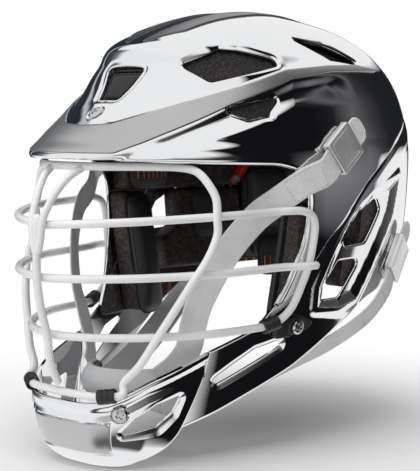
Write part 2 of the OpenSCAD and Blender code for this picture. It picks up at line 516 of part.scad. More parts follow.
// Comfort pad on the cavity wall: crowned face, sides drawn in towards it
pad_gap = 0.9;
function swell(i, n) = 1 - pow(abs(2 * i / n - 1), 4);
function pad_face(z0, z1, a0, a1, n, m, depth, draw) = [for (i = [0 : n]) [for (j = [0 : m])
    let (am = (a0 + a1) / 2, zm = (z0 + z1) / 2, k = 1 - draw, a = am + (a0 + (a1 - a0) * i / n - am) * k,
        z = zm + (z0 + (z1 - z0) * j / m - zm) * k, u = u_at(z))
            cavity(u, a, -pad_gap - depth * (depth < 2 ? 1 : 0.5 + 0.5 * swell(i, n) * swell(j, m)))]];
module pad(z0, z1, a0, a1, t, n = 8, m = 6, more = 0) layer(pad_face(z0, z1, a0, a1, n, m, more, 0), pad_face(z0, z1, a0, a1, n, m, t, 0.08));
function side_face(y0, y1, z0, z1, n, m, depth, k) = [for (r = grid_at(y0, y1, z0, z1, n, m)) [for (q = r)
    let (ym = (y0 + y1) / 2, zm = (z0 + z1) / 2, fall = swell((q[0] - y0) / (y1 - y0), 1) * swell((q[1] - z0) / (z1 - z0), 1))
        [cavity_x(q[0], q[1]) - pad_gap - depth * (0.5 + 0.5 * fall), ym + (q[0] - ym) * k, zm + (q[1] - zm) * k]]];
module side_pad(y0, y1, z0, z1, t, n, m) layer(side_face(y0, y1, z0, z1, n, m, 0, 1), side_face(y0, y1, z0, z1, n, m, t, 0.92));
module brow_pad() color([0.07, 0.07, 0.07]) placed() pad(206, 236, -128, -52, pad_t, 10, 5, 0.4);
module crown_pad_front() color([0.07, 0.07, 0.07]) placed() pad(brow_z + 58, brow_z + 90, -122, -58, pad_t, 8, 6, 0.6);
module crown_pad_rear() color([0.07, 0.07, 0.07]) placed() pad(brow_z + 58, brow_z + 92, 55, 125, pad_t, 8, 5);
module temple_pad() side_pad(-6, 34, 174, 195, pad_t, 8, 5);
module cheek_pad() side_pad(-12, 14, 80, 169, pad_t + 2, 6, 10);
module ear_pad() side_pad(60, 92, 132, 168, pad_t - 1, 6, 6);
module temple_pad_left() color([0.07, 0.07, 0.07]) placed() temple_pad();
module temple_pad_right() color([0.07, 0.07, 0.07]) placed() mirror([1, 0, 0]) temple_pad();
module cheek_pad_left() color([0.07, 0.07, 0.07]) placed() cheek_pad();
module cheek_pad_right() color([0.07, 0.07, 0.07]) placed() mirror([1, 0, 0]) cheek_pad();
module ear_pad_left() color([0.07, 0.07, 0.07]) placed() ear_pad();
module ear_pad_right() color([0.07, 0.07, 0.07]) placed() mirror([1, 0, 0]) ear_pad();
module nape_pad() color([0.07, 0.07, 0.07]) placed() pad(100, 130, 44, 136, pad_t, 12, 5);

// Fit pads at the back corners, tightened by a red lever on a pivot pin
module fit_pad() pad(138, 184, 40, 58, pad_t, 8, 8);
module fit_pad_left() color([0.2, 0.21, 0.21]) placed() fit_pad();
module fit_pad_right() color([0.2, 0.21, 0.21]) placed() mirror([1, 0, 0]) fit_pad();
LEVER = [33, 176];
lever_len = 22;
lever_w = 8;
lever_t = 3;
pivot_d = 4;
pivot_play = 0.05;
lever_turn = 26;
lever_lean = 35;
lever_lift = 2;
module at_lever() translate(cavity(u_at(LEVER[1]), LEVER[0], 0)) rotate([0, 0, lever_turn]) rotate([0, -90, 0]) children();
module fit_lever() at_lever() rotate([0, 0, lever_lean]) translate([0, 0, lever_lift]) difference() {
    union() {
        cylinder(d = lever_w, h = lever_t);
        translate([0, -lever_w / 2, 0]) cube([lever_len, lever_w, lever_t]);
        translate([lever_len, 0, 0]) cylinder(d = lever_w, h = lever_t + 2);
    }
    translate([0, 0, -1]) cylinder(d = pivot_d + 2 * pivot_play, h = lever_t + 2);
}
module fit_lever_left() color([0.6, 0.05, 0.05]) placed() fit_lever();
module fit_lever_right() color([0.6, 0.05, 0.05]) placed() mirror([1, 0, 0]) fit_lever();
module fit_pivots() color([0.5, 0.5, 0.5]) placed() both_sides() at_lever() {
    translate([0, 0, 0.8]) cylinder(d = lever_w, h = lever_lift - 1.2);
    translate([0, 0, 0.8]) cylinder(d = pivot_d, h = lever_t + lever_lift - 0.4);
    translate([0, 0, lever_lift + lever_t + 0.4]) cylinder(d = pivot_d + 3, h = 1);
}

// Buckles on studs, each with two bars over the webbing
upper_turn = 34;
upper_yaw = 0;
upper_tilt = 11;
lower_turn = 55;
lower_yaw = 18;
lower_tilt = -8;
stud_d = 5;
buckle_l = 28;
buckle_w = strap_w + 5.6;
buckle_base = 0.6;
buckle_plate = 1.4;
strap_lift = buckle_base + buckle_plate + 0.4 + strap_t / 2;
bar_d = 2.4;
slide_room = 8;
module at_side(place, yaw, tilt, turn) translate([skin_x(place[0], place[1]), place[0], place[1]])
    rotate([0, 0, yaw]) rotate([0, -tilt, 0]) rotate([turn, 0, 0]) rotate([90, 0, 90]) children();
module at_upper() at_side(UPPER_STUD, upper_yaw, upper_tilt, upper_turn) children();
module at_lower() at_side(LOWER_STUD, lower_yaw, lower_tilt, lower_turn) children();
module stud() translate([0, 0, -shell_wall - 1]) cylinder(d = stud_d, h = shell_wall + 1 + buckle_base + buckle_plate - 0.1);
module buckle() {
    bar_z = strap_lift + strap_t / 2 + 0.4 + bar_d / 2;
    difference() {
        translate([-buckle_l / 2, -buckle_w / 2, buckle_base]) cube([buckle_l, buckle_w, buckle_plate]);
        for (x = [0, -slide_room]) translate([x, 0, 0]) cylinder(d = stud_d + 0.6, h = 9);
        translate([-slide_room, -stud_d / 2 - 0.3, 0]) cube([slide_room, stud_d + 0.6, 9]);
    }
    for (s = [-1, 1]) {
        translate([-buckle_l / 2, s > 0 ? buckle_w / 2 - 2.4 : -buckle_w / 2, buckle_base + buckle_plate])
            cube([buckle_l, 2.4, bar_z - buckle_base - buckle_plate]);
        translate([s * (buckle_l / 2 - bar_d / 2), -buckle_w / 2, bar_z]) rotate([-90, 0, 0]) cylinder(d = bar_d, h = buckle_w);
    }
}
module upper_buckle_left() color([0.6, 0.6, 0.58]) placed() at_upper() buckle();
module upper_buckle_right() color([0.6, 0.6, 0.58]) placed() mirror([1, 0, 0]) at_upper() buckle();
module lower_buckle_left() color([0.6, 0.6, 0.58]) placed() at_lower() buckle();
module lower_buckle_right() color([0.6, 0.6, 0.58]) placed() mirror([1, 0, 0]) at_lower() buckle();
module upper_studs() color([0.6, 0.6, 0.6]) placed() both_sides() at_upper() stud();
module lower_studs() color([0.6, 0.6, 0.6]) placed() both_sides() at_lower() stud();

// Directions of a buckle's own frame, in the helmet's frame
function turned(v, yaw, tilt, turn) = let (a = [v[2], v[0] * cos(turn) - v[1] * sin(turn), v[0] * sin(turn) + v[1] * cos(turn)],
    b = [a[0] * cos(tilt) - a[2] * sin(tilt), a[1], a[0] * sin(tilt) + a[2] * cos(tilt)])
    [b[0] * cos(yaw) - b[1] * sin(yaw), b[0] * sin(yaw) + b[1] * cos(yaw), b[2]];
function by_upper(v) = on_shell(UPPER_STUD) + turned(v, upper_yaw, upper_tilt, upper_turn);
side = shell_half_width;
function by_lower(v) = on_shell(LOWER_STUD) + turned(v, lower_yaw, lower_tilt, lower_turn);

// Flat webbing along points, its face turned to the given normals
function ribbon_rings(p, q) = [for (i = [0 : len(p) - 1]) let (n = len(p), t = unit(p[min(n - 1, i + 1)] - p[max(0, i - 1)]),
    w = unit(cross(t, q[i])), f = cross(w, t)) [for (c = [[1, 1], [1, -1], [-1, -1], [-1, 1]])
        p[i] + c[0] * strap_w / 2 * w + c[1] * strap_t / 2 * f]];
module ribbon(p, q, per) loft(ribbon_rings(curve(p, per), curve(q, per)));
up_face = turned([0, 0, 1], upper_yaw, upper_tilt, upper_turn);
low_face = turned([0, 0, 1], lower_yaw, lower_tilt, lower_turn);
upper_strap_path = [by_upper([29, 0, strap_lift]), by_upper([14, 0, strap_lift]), by_upper([0, 0, strap_lift]), by_upper([-14, 0, strap_lift]),
    by_upper([-27, 0, strap_lift + 0.3]), [side - 1.6, -21, 185.5], [side - 12.4, -35, 173.5],
    [side - 19, -51, 162], [side - 30.5, -66.5, 139], [62, -76, 110], [55, -76.5, 92], [50, -76, 76], [42.5, -80, 63.5], [35.7, -87.6, 55.5]];
upper_strap_faces = [up_face, up_face, up_face, up_face, up_face, [0.95, -0.25, 0.12], [0.88, -0.4, 0.08], [0.88, -0.45, 0.05], [0.84, -0.52, 0],
    [0.86, -0.5, -0.1], [0.88, -0.45, -0.15], [0.88, -0.45, -0.15], [0.88, -0.45, -0.1], [0.9, -0.4, -0.1]];
module upper_strap() ribbon(upper_strap_path, upper_strap_faces, 3);
module upper_strap_left() color([0.87, 0.87, 0.86]) placed() upper_strap();
module upper_strap_right() color([0.87, 0.87, 0.86]) placed() mirror([1, 0, 0]) upper_strap();
lower_strap_path = [by_lower([29, 0, strap_lift]), by_lower([14, 0, strap_lift]), by_lower([0, 0, strap_lift]), by_lower([-14, 0, strap_lift]),
    by_lower([-27, 0, strap_lift + 0.3]), [side - 13, 62, 87], [side - 22, 34, 71], [side - 34, 4, 58.5], [side - 44, -26, 47], [51, -58, 38.5], [43, -82, 38], [32.6, -91, 42.6]];
lower_strap_faces = [low_face, low_face, low_face, low_face, low_face, [0.9, 0.2, -0.35], [0.85, 0.1, -0.5], [0.8, 0, -0.6],
    [0.75, 0, -0.66], [0.75, 0, -0.6], [0.8, -0.1, -0.5], [0.85, -0.3, -0.4]];
module lower_strap() ribbon(lower_strap_path, lower_strap_faces, 3);
module lower_strap_left() color([0.87, 0.87, 0.86]) placed() lower_strap();
module lower_strap_right() color([0.87, 0.87, 0.86]) placed() mirror([1, 0, 0]) lower_strap();

// Chin cup: a bowl round the chin, lined with a thin pad
cup_at = [0, -80, 50];
cup_size = [36, 34, 20];
cup_wall = 2.5;
function cup_point(a, e, off) = cup_at + [(cup_size[0] + off) * cos(a) * cos(e), (cup_size[1] + off) * sin(a) * cos(e),
    (cup_size[2] + off) * sin(e)];
function cup_grid(off) = [for (a = [-174 : 14 : -6 + eps]) [for (e = [-55 : 15 : 35 + eps]) cup_point(a, e, off)]];
module chin_cup() color([0.8, 0.8, 0.8]) placed() layer(cup_grid(0), cup_grid(-cup_wall));
module chin_cup_pad() color([0.3, 0.3, 0.3]) placed() layer(cup_grid(-cup_wall - lining_gap), cup_grid(-cup_wall - 5));

crown_shell();
rear_shell();
visor_trim();
top_stripes();
front_plug();
visor_screw();
chin_guard();
chin_plate();
chin_screws();
cage_perimeter_wire();
cage_hoop_wire();
cage_middle_wire();
cage_centre_wires();
front_clip_left();
front_clip_right();
rear_clip_left();
rear_clip_right();
clip_screws();
front_liner();
rear_liner();
nape_liner();
side_liner_left();
side_liner_right();
ear_liner_left();
ear_liner_right();
jaw_liner_left();
jaw_liner_right();
brow_pad();
crown_pad_front();
crown_pad_rear();
temple_pad_left();
temple_pad_right();
cheek_pad_left();
cheek_pad_right();
ear_pad_left();
ear_pad_right();
nape_pad();
fit_pad_left();
fit_pad_right();
fit_lever_left();
fit_lever_right();
fit_pivots();
upper_studs();
lower_studs();
upper_buckle_left();
upper_buckle_right();
lower_buckle_left();
lower_buckle_right();
upper_strap_left();
upper_strap_right();
lower_strap_left();
lower_strap_right();
chin_cup();
chin_cup_pad();
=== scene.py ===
import math

import bmesh
import bpy
import numpy as np
from mathutils import Matrix, Vector
from mathutils.geometry import delaunay_2d_cdt


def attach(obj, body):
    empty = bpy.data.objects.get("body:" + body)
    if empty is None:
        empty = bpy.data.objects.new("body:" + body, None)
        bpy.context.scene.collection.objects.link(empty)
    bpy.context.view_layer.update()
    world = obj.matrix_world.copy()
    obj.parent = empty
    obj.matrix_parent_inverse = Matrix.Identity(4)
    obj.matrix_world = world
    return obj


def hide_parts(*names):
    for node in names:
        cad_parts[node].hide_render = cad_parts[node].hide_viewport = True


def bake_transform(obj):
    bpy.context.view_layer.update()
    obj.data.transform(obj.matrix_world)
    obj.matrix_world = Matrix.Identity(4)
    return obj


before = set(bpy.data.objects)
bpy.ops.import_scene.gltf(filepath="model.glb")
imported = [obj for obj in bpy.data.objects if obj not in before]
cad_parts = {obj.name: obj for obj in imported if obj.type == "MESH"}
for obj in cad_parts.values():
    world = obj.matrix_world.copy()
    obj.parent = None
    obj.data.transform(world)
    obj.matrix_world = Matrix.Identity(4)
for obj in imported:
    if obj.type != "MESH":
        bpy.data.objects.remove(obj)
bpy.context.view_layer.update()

# Lengths here are millimetres, as in the part's source. The frame's middle lies in front of the ear line.
MM = 0.001
MIDDLE_Y = 2.6
EAR_Y = 28.0

BROW = 198.0
RISE = 104.0
WIDE = 105.0
VISOR = 178.0
BACK = 144.0
SHELL_WALL = 3.0
SHELL_STEP = 1.4
SEAM_GAP = 0.3
LINER_T = 17.0
HEAD_REACH = 128.0
SOFT_GAP = 0.9
BACK_POWER = 2.2

# Rows: height, half width, reach in front, reach behind, power of the oval in front, share of an offset that lifts.
SKIN = np.array([
    [0, WIDE - 31, VISOR - 12, BACK - 52, 1.6, 0],
    [46, WIDE - 21, VISOR - 2, BACK - 22, 1.6, 0],
    [81, WIDE - 14, VISOR, BACK - 12, 1.65, 0],
    [116, WIDE - 8, VISOR, BACK - 6, 1.8, 0],
    [156, WIDE - 2, VISOR, BACK - 2, 1.95, 0],
    [BROW, WIDE, VISOR, BACK, 2.1, 0],
    [BROW + 0.153 * RISE, WIDE - 3, VISOR - 16, BACK - 1, 2.1, 0.1],
    [BROW + 0.306 * RISE, WIDE - 8, VISOR - 37, BACK - 4, 2.1, 0.2],
    [BROW + 0.46 * RISE, WIDE - 14, VISOR - 54, BACK - 9, 2.1, 0.35],
    [BROW + 0.61 * RISE, WIDE - 23, VISOR - 64, BACK - 19, 2.1, 0.5],
    [BROW + 0.755 * RISE, WIDE - 37, VISOR - 72, BACK - 36, 2.1, 0.7],
    [BROW + 0.88 * RISE, WIDE - 57, VISOR - 104, BACK - 64, 2.1, 0.85],
    [BROW + 0.965 * RISE, WIDE - 80, VISOR - 140, BACK - 106, 2.1, 0.95],
    [BROW + RISE, 2, 2, 2, 2.1, 1]], float)
CHIN_Y = -30.0
CHIN = np.array([
    [0, 46, 98, 60, 3, 0], [8, 52, 108, 60, 3, 0], [20, 56, 114, 60, 3, 0],
    [40, 61, 117, 60, 3, 0], [56, 64, 116, 60, 3, 0], [82, 68, 116, 60, 3, 0]], float)


# ---------------------------------------------------------------- numbers
def blend4(a, b, c, d, t):
    return 0.5 * (2 * b + (c - a) * t + (2 * a - 5 * b + 4 * c - d) * t * t + (3 * b - a - 3 * c + d) * t ** 3)


def table_row(table, u):
    top = len(table) - 1
    u = np.asarray(u, float)
    i = np.clip(np.floor(u).astype(int), 0, top - 1)
    t = (u - i)[..., None]
    return blend4(table[np.maximum(i - 1, 0)], table[i], table[i + 1], table[np.minimum(i + 2, top)], t)


def spow(v, e):
    return np.sign(v) * np.abs(v) ** e


def oval(r, angle, off, mid):
    a = np.radians(angle)
    c, s = np.cos(a), np.sin(a)
    c = np.where(np.abs(c) < 1e-9, 0, c)
    p = np.where(s < 0, r[..., 4], BACK_POWER)
    reach = np.where(s < 0, r[..., 2], r[..., 3]) + off
    return np.stack([(r[..., 1] + off) * spow(c, 2 / p), mid + reach * spow(s, 2 / p), r[..., 0] + off * r[..., 5]], -1)


U_FINE = np.linspace(0, len(SKIN) - 1, 5201)
Z_FINE = table_row(SKIN, U_FINE)[:, 0]
CHIN_U_FINE = np.linspace(0, len(CHIN) - 1, 2001)
CHIN_Z_FINE = table_row(CHIN, CHIN_U_FINE)[:, 0]


def u_at(z):
    return np.interp(z, Z_FINE, U_FINE)


def chin_u(z):
    return np.interp(z, CHIN_Z_FINE, CHIN_U_FINE)


def skin(u, a, off=0.0):
    return oval(table_row(SKIN, u), np.asarray(a, float), off, EAR_Y)


def chin_skin(u, a, off=0.0):
    return oval(table_row(CHIN, u), np.asarray(a, float), off, CHIN_Y)


def half_width(r, mid, y, off=0.0):
    """Half width at y of the oval that a table's rows describe."""
    y = np.asarray(y, float)
    front = y < mid
    t = np.abs(y - mid) / (np.where(front, r[..., 2], r[..., 3]) + off)
    p = np.where(front, r[..., 4], BACK_POWER)
    return (r[..., 1] + off) * np.maximum(0, 1 - np.minimum(t, 1) ** p) ** (1 / p)


def skin_x(y, z, off=0.0):
    return half_width(table_row(SKIN, u_at(z)), EAR_Y, y, off)


def chin_x(y, z):
    return half_width(table_row(CHIN, chin_u(z)), CHIN_Y, y)


def inset_rows(u, w, reach):
    """Rows of the skin moved inwards by w, and cut off in front at reach."""
    r = table_row(SKIN, u)
    return np.stack([r[..., 0] - w * r[..., 5], r[..., 1] - w, np.minimum(r[..., 2] - w, reach),
                     r[..., 3] - w, r[..., 4], r[..., 5]], -1)


def cavity_rows(u):
    return inset_rows(u, SHELL_WALL + LINER_T, HEAD_REACH)


def cavity(u, a, off=0.0):
    return oval(cavity_rows(u), np.asarray(a, float), off, EAR_Y)


def cavity_x(y, z):
    return half_width(cavity_rows(u_at(z)), EAR_Y, y)


def liner_back(u, a, off=0.0):
    rows = inset_rows(u, SHELL_WALL + SOFT_GAP + off, HEAD_REACH + LINER_T + 3)
    return oval(rows, np.asarray(a, float), 0.0, EAR_Y)


def unit(v):
    v = np.asarray(v, float)
    return v / np.maximum(np.linalg.norm(v, axis=-1, keepdims=True), 1e-12)


def smooth(t):
    t = np.clip(t, 0, 1)
    return t * t * (3 - 2 * t)


def lookup(t, pairs):
    pairs = np.array(pairs, float)
    return np.interp(t, pairs[:, 0], pairs[:, 1])


def curve(points, per):
    """Smooth line through points, with per steps between neighbours."""
    p = np.asarray(points, float)
    n = len(p)
    out = [blend4(p[max(0, i - 1)], p[i], p[i + 1], p[min(n - 1, i + 2)], k / per)
           for i in range(n - 1) for k in range(per)]
    return np.array(out + [p[-1]])


def closed_curve(points, per):
    p = np.asarray(points, float)
    n = len(p)
    return np.array([blend4(p[i - 1], p[i], p[(i + 1) % n], p[(i + 2) % n], k / per)
                     for i in range(n) for k in range(per)])


def along(p):
    """Length of a line up to each of its points."""
    return np.concatenate([[0], np.cumsum(np.linalg.norm(np.diff(p, axis=0), axis=1))])


def at_lengths(at, lengths, p):
    return np.stack([np.interp(at, lengths, p[:, k]) for k in range(p.shape[1])], -1)


def outline_length(q):
    return np.linalg.norm(np.diff(np.vstack([q, q[:1]]), axis=0), axis=1).sum()


def resample(points, step, closed=False):
    p = np.asarray(points, float)
    if closed:
        p = np.vstack([p, p[:1]])
    lengths = along(p)
    n = max(3, int(round(lengths[-1] / step)))
    out = at_lengths(np.linspace(0, lengths[-1], n + 1), lengths, p)
    return out[:-1] if closed else out


def round_hull(corners, r, step):
    """Outline of a disc of radius r swept over the convex hull of corners in a plane."""
    c = np.array(corners, float)
    mid = c.mean(0)
    c = c[np.argsort(np.arctan2(c[:, 1] - mid[1], c[:, 0] - mid[0]))]
    out = []
    for i in range(len(c)):
        d0, d1 = unit(c[i] - c[i - 1]), unit(c[(i + 1) % len(c)] - c[i])
        a0, a1 = math.atan2(-d0[0], d0[1]), math.atan2(-d1[0], d1[1])
        while a1 < a0 - 1e-9:
            a1 += 2 * math.pi
        out += [c[i] + r * np.array([math.cos(t), math.sin(t)]) for t in np.linspace(a0, a1, 7)]
    return resample(out, step, True)


def inside(points, polygon):
    """Even-odd test of many points against one polygon."""
    x, y = points[:, 0], points[:, 1]
    result = np.zeros(len(points), bool)
    for (x0, y0), (x1, y1) in zip(polygon, np.roll(polygon, -1, axis=0)):
        if y0 != y1:
            result ^= ((y0 > y) != (y1 > y)) & (x < (x1 - x0) * (y - y0) / (y1 - y0) + x0)
    return result


def nearest(points, others, batch=2000):
    """Distance from each point to the nearest of others, in a plane, and which one it is."""
    far, which = np.full(len(points), 1e9), np.zeros(len(points), int)
    for i in range(0, len(points), batch):
        d = points[i:i + batch, None, :] - others[None, :, :]
        d = (d * d).sum(-1)
        far[i:i + batch], which[i:i + batch] = np.sqrt(d.min(1)), d.argmin(1)
    return far, which


# ---------------------------------------------------------------- pieces
# A part is (points in millimetres, faces) or (points, faces, flat map with one place per face corner).
MIRROR = np.array([-1, 1, 1])


def to_frame(points):
    p = np.array(points, float).reshape(-1, 3)
    p[:, 1] -= MIDDLE_Y
    return p * MM


def link(obj):
    bpy.context.scene.collection.objects.link(obj)
    return obj


def sharpen(mesh, angle):
    bm = bmesh.new()
    bm.from_mesh(mesh)
    for e in bm.edges:
        e.smooth = len(e.link_faces) == 2 and e.calc_face_angle(0) < math.radians(angle)
    bm.to_mesh(mesh)
    bm.free()


def piece(name, part, material, stands_for=None, slot=None, body="helmet", normals=None, angle=None):
    """A finished mesh. normals is one direction per face corner, in face order. Edges over angle are sharp.

    A piece without a body is not attached to any body."""
    points, faces, uv = (*part, None)[:3]
    mesh = bpy.data.meshes.new(name)
    mesh.from_pydata(to_frame(points).tolist(), [], [list(f) for f in faces])
    mesh.update()
    obj = link(bpy.data.objects.new(name, mesh))
    mesh.polygons.foreach_set("use_smooth", np.ones(len(mesh.polygons), bool))
    if uv is not None:
        mesh.uv_layers.new(name="flat").data.foreach_set("uv", np.asarray(uv, np.float32).ravel())
    if normals is not None:
        mesh.normals_split_custom_set([tuple(n) for n in unit(normals)])
    elif angle is not None:
        sharpen(mesh, angle)
    mesh.materials.append(material)
    if stands_for:
        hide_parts(stands_for)
    if body:
        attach(obj, body)
    return obj


def grid_faces(rows, cols, close_cols=False, close_rows=False, base=0):
    return [(base + i * cols + j, base + i * cols + k, base + h * cols + k, base + h * cols + j)
            for i in range(rows if close_rows else rows - 1) for h in [(i + 1) % rows]
            for j in range(cols if close_cols else cols - 1) for k in [(j + 1) % cols]]


def outward_faces(points, faces):
    """Turns all faces of a closed solid round if its volume is negative."""
    p = np.asarray(points)
    volume = sum(np.dot(p[f[0]], np.cross(p[f[k]], p[f[k + 1]])) for f in faces for k in range(1, len(f) - 1))
    return faces if volume > 0 else [tuple(reversed(f)) for f in faces]


def join(parts):
    """Puts parts into one."""
    points, faces, base = [], [], 0
    for part in parts:
        points.append(np.asarray(part[0], float).reshape(-1, 3))
        faces += [tuple(base + i for i in q) for q in part[1]]
        base += len(points[-1])
    made = np.vstack(points), faces
    return made if len(parts[0]) == 2 else (*made, np.vstack([part[2] for part in parts]))


def flip(part):
    """Mirror image of a part, which keeps its flat map."""
    made = np.asarray(part[0]) * MIRROR, [tuple(reversed(f)) for f in part[1]]
    if len(part) == 2:
        return made
    ends = np.cumsum([len(f) for f in part[1]])
    return (*made, np.vstack([part[2][end - len(f):end][::-1] for f, end in zip(part[1], ends)]))


def both(part):
    return join([part, flip(part)])


def pair(name, part, material, stands_for, slot, body="helmet", angle=None):
    """A piece on the wearer's left and its mirror image. {} in a name is the side."""
    return [piece(name.format(side), made, material, stands_for.format(side), slot, body.format(side), angle=angle)
            for side, made in (("left", part), ("right", flip(part)))]


# ---------------------------------------------------------------- moulded shells
class Surface:
    """A moulded surface: a chart in millimetres, its base and the relief that is pressed into it."""

    def __init__(self, table, mid, at, off, relief, reference):
        self.table, self.mid, self.at, self.off, self.relief = table, mid, at, off, relief
        self.top = len(table) - 1
        self.angles, self.us = np.linspace(-90, 90, 1441), np.linspace(0, self.top, 1301)
        self.along = along(oval(np.repeat(table_row(table, [reference]), len(self.angles), 0), self.angles, 0.0, mid))
        side, nose = (np.diff(oval(table_row(table, self.us), np.full(len(self.us), a), 0.0, mid), axis=0)
                      for a in (0.0, -90.0))
        step = 0.5 * (np.linalg.norm(side, axis=1) + np.linalg.norm(nose, axis=1))
        self.up = np.concatenate([[0], np.cumsum(step)])

    def to_angle(self, chart):
        return np.interp(chart[:, 0], self.along, self.angles), np.interp(chart[:, 1], self.up, self.us)

    def from_angle(self, a, u):
        return np.stack([np.interp(a, self.angles, self.along), np.interp(u, self.us, self.up)], -1)

    def reach(self, y, r):
        """Places y as a share of the rows' reach, negative in front, and the power of the oval there."""
        front = y < self.mid
        share = (y - self.mid) / (np.where(front, r[..., 2], r[..., 3]) + self.off)
        return share, np.where(front, r[..., 4], BACK_POWER)

    def from_side(self, y, z):
        y, z = np.asarray(y, float), np.asarray(z, float)
        u = self.at(z)
        t, p = self.reach(y, table_row(self.table, u))
        a = np.degrees(np.arcsin(np.clip(np.abs(t), 0, 1) ** (p / 2)))
        return self.from_angle(np.where(y < self.mid, -a, a), u)

    def from_space(self, q):
        r = table_row(self.table, self.at(q[:, 2]))
        u = self.at(q[:, 2] - self.off * r[:, 5])
        r = table_row(self.table, u)
        s, p = self.reach(q[:, 1], r)
        c = np.maximum(q[:, 0], 0) / (r[:, 1] + self.off)
        a = np.degrees(np.arctan2(spow(s, p / 2), np.abs(c) ** (p / 2)))
        return self.from_angle(np.clip(a, -90, 90), u)

    def base(self, a, u):
        return oval(table_row(self.table, u), a, self.off, self.mid)

    def place(self, a, u, drop=0.0):
        p, n = self.base(a, u), self.base_normal(a, u)
        return p + n * (self.relief(p, a, u) - drop)[:, None]

    def upright(self, place, a, u, h, wide):
        """Direction off what place describes, from neighbours h rows up and down and wide times h degrees aside."""
        u0, u1 = np.maximum(u - h, 0), np.minimum(u + h, self.top - 1e-6)
        return unit(np.cross(place(a + wide * h, u) - place(a - wide * h, u), place(a, u1) - place(a, u0)))

    def base_normal(self, a, u):
        return self.upright(self.base, a, u, 0.02, 4)

    def normal(self, a, u):
        return self.upright(self.place, a, u, 0.01, 6)


ON_PLANE = 1e-6


class Edge:
    """A line in the chart where the moulding ends. width and depth shape the bevel along it, per point."""

    def __init__(self, surface, chart, closed, profile, width=0.0, depth=0.0, hole=False):
        area = np.sum(chart[:, 0] * np.roll(chart[:, 1], -1) - np.roll(chart[:, 0], -1) * chart[:, 1])
        if hole and area > 0:
            chart = chart[::-1].copy()
        a, u = surface.to_angle(chart)
        self.q = q = surface.base(a, u)
        if closed:
            t = np.roll(q, -1, axis=0) - np.roll(q, 1, axis=0)
        else:
            t = np.gradient(q, axis=0)
            for end in (0, -1):
                if abs(q[end, 0]) < ON_PLANE:
                    t[end] = [1, 0, 0] if t[end][0] > 0 else [-1, 0, 0]
        self.b = unit(np.cross(surface.base_normal(a, u), unit(t)))
        self.chart, self.closed, self.hole, self.profile = chart, closed, hole, profile
        self.width, self.depth = (np.broadcast_to(np.asarray(v(chart) if callable(v) else v, float), (len(q),)).copy()
                                  for v in (width, depth))


# A profile's rows: distance from the edge in millimetres, share of the width, drop in millimetres, share of the depth.
PLAIN_RIM = [(0.0, 0, 0.75, 0), (0.12, 0, 0.42, 0), (0.35, 0, 0.16, 0), (0.75, 0, 0.0, 0)]
BROW_LIP = [(0.0, 0.0, 0.0, 1.0), (0.0, 0.06, 0.0, 0.62), (0.0, 0.2, 0.0, 0.34), (0.0, 0.45, 0.0, 0.12),
            (0.0, 0.75, 0.0, 0.02), (0.0, 1.0, 0.0, 0.0)]
CHAMFER = [(0.0, 0, 0.45, 1.0), (0.28, 0, 0.05, 0.97), (0.0, 0.5, 0.0, 0.5), (-0.12, 1.0, 0.0, 0.05),
           (0.16, 1.0, 0.0, 0.0)]
RIM_TILT = np.radians(78)


def staggered(lo, hi, step):
    """Grid of points between two corners, every other row moved by half a step."""
    xs, ys = np.arange(lo[0], hi[0] + step, step), np.arange(lo[1], hi[1] + step, step * 0.9)
    return np.array([[x + (step / 2 if j % 2 else 0), y] for j, y in enumerate(ys) for x in xs])


def along_normals(points, faces, normals):
    """Turns the triangles that face away from their corners' normals."""
    way = np.cross(points[faces[:, 1]] - points[faces[:, 0]], points[faces[:, 2]] - points[faces[:, 0]])
    back = (way * normals[faces].sum(1)).sum(-1) < 0
    faces[back] = faces[back][:, ::-1]
    return faces


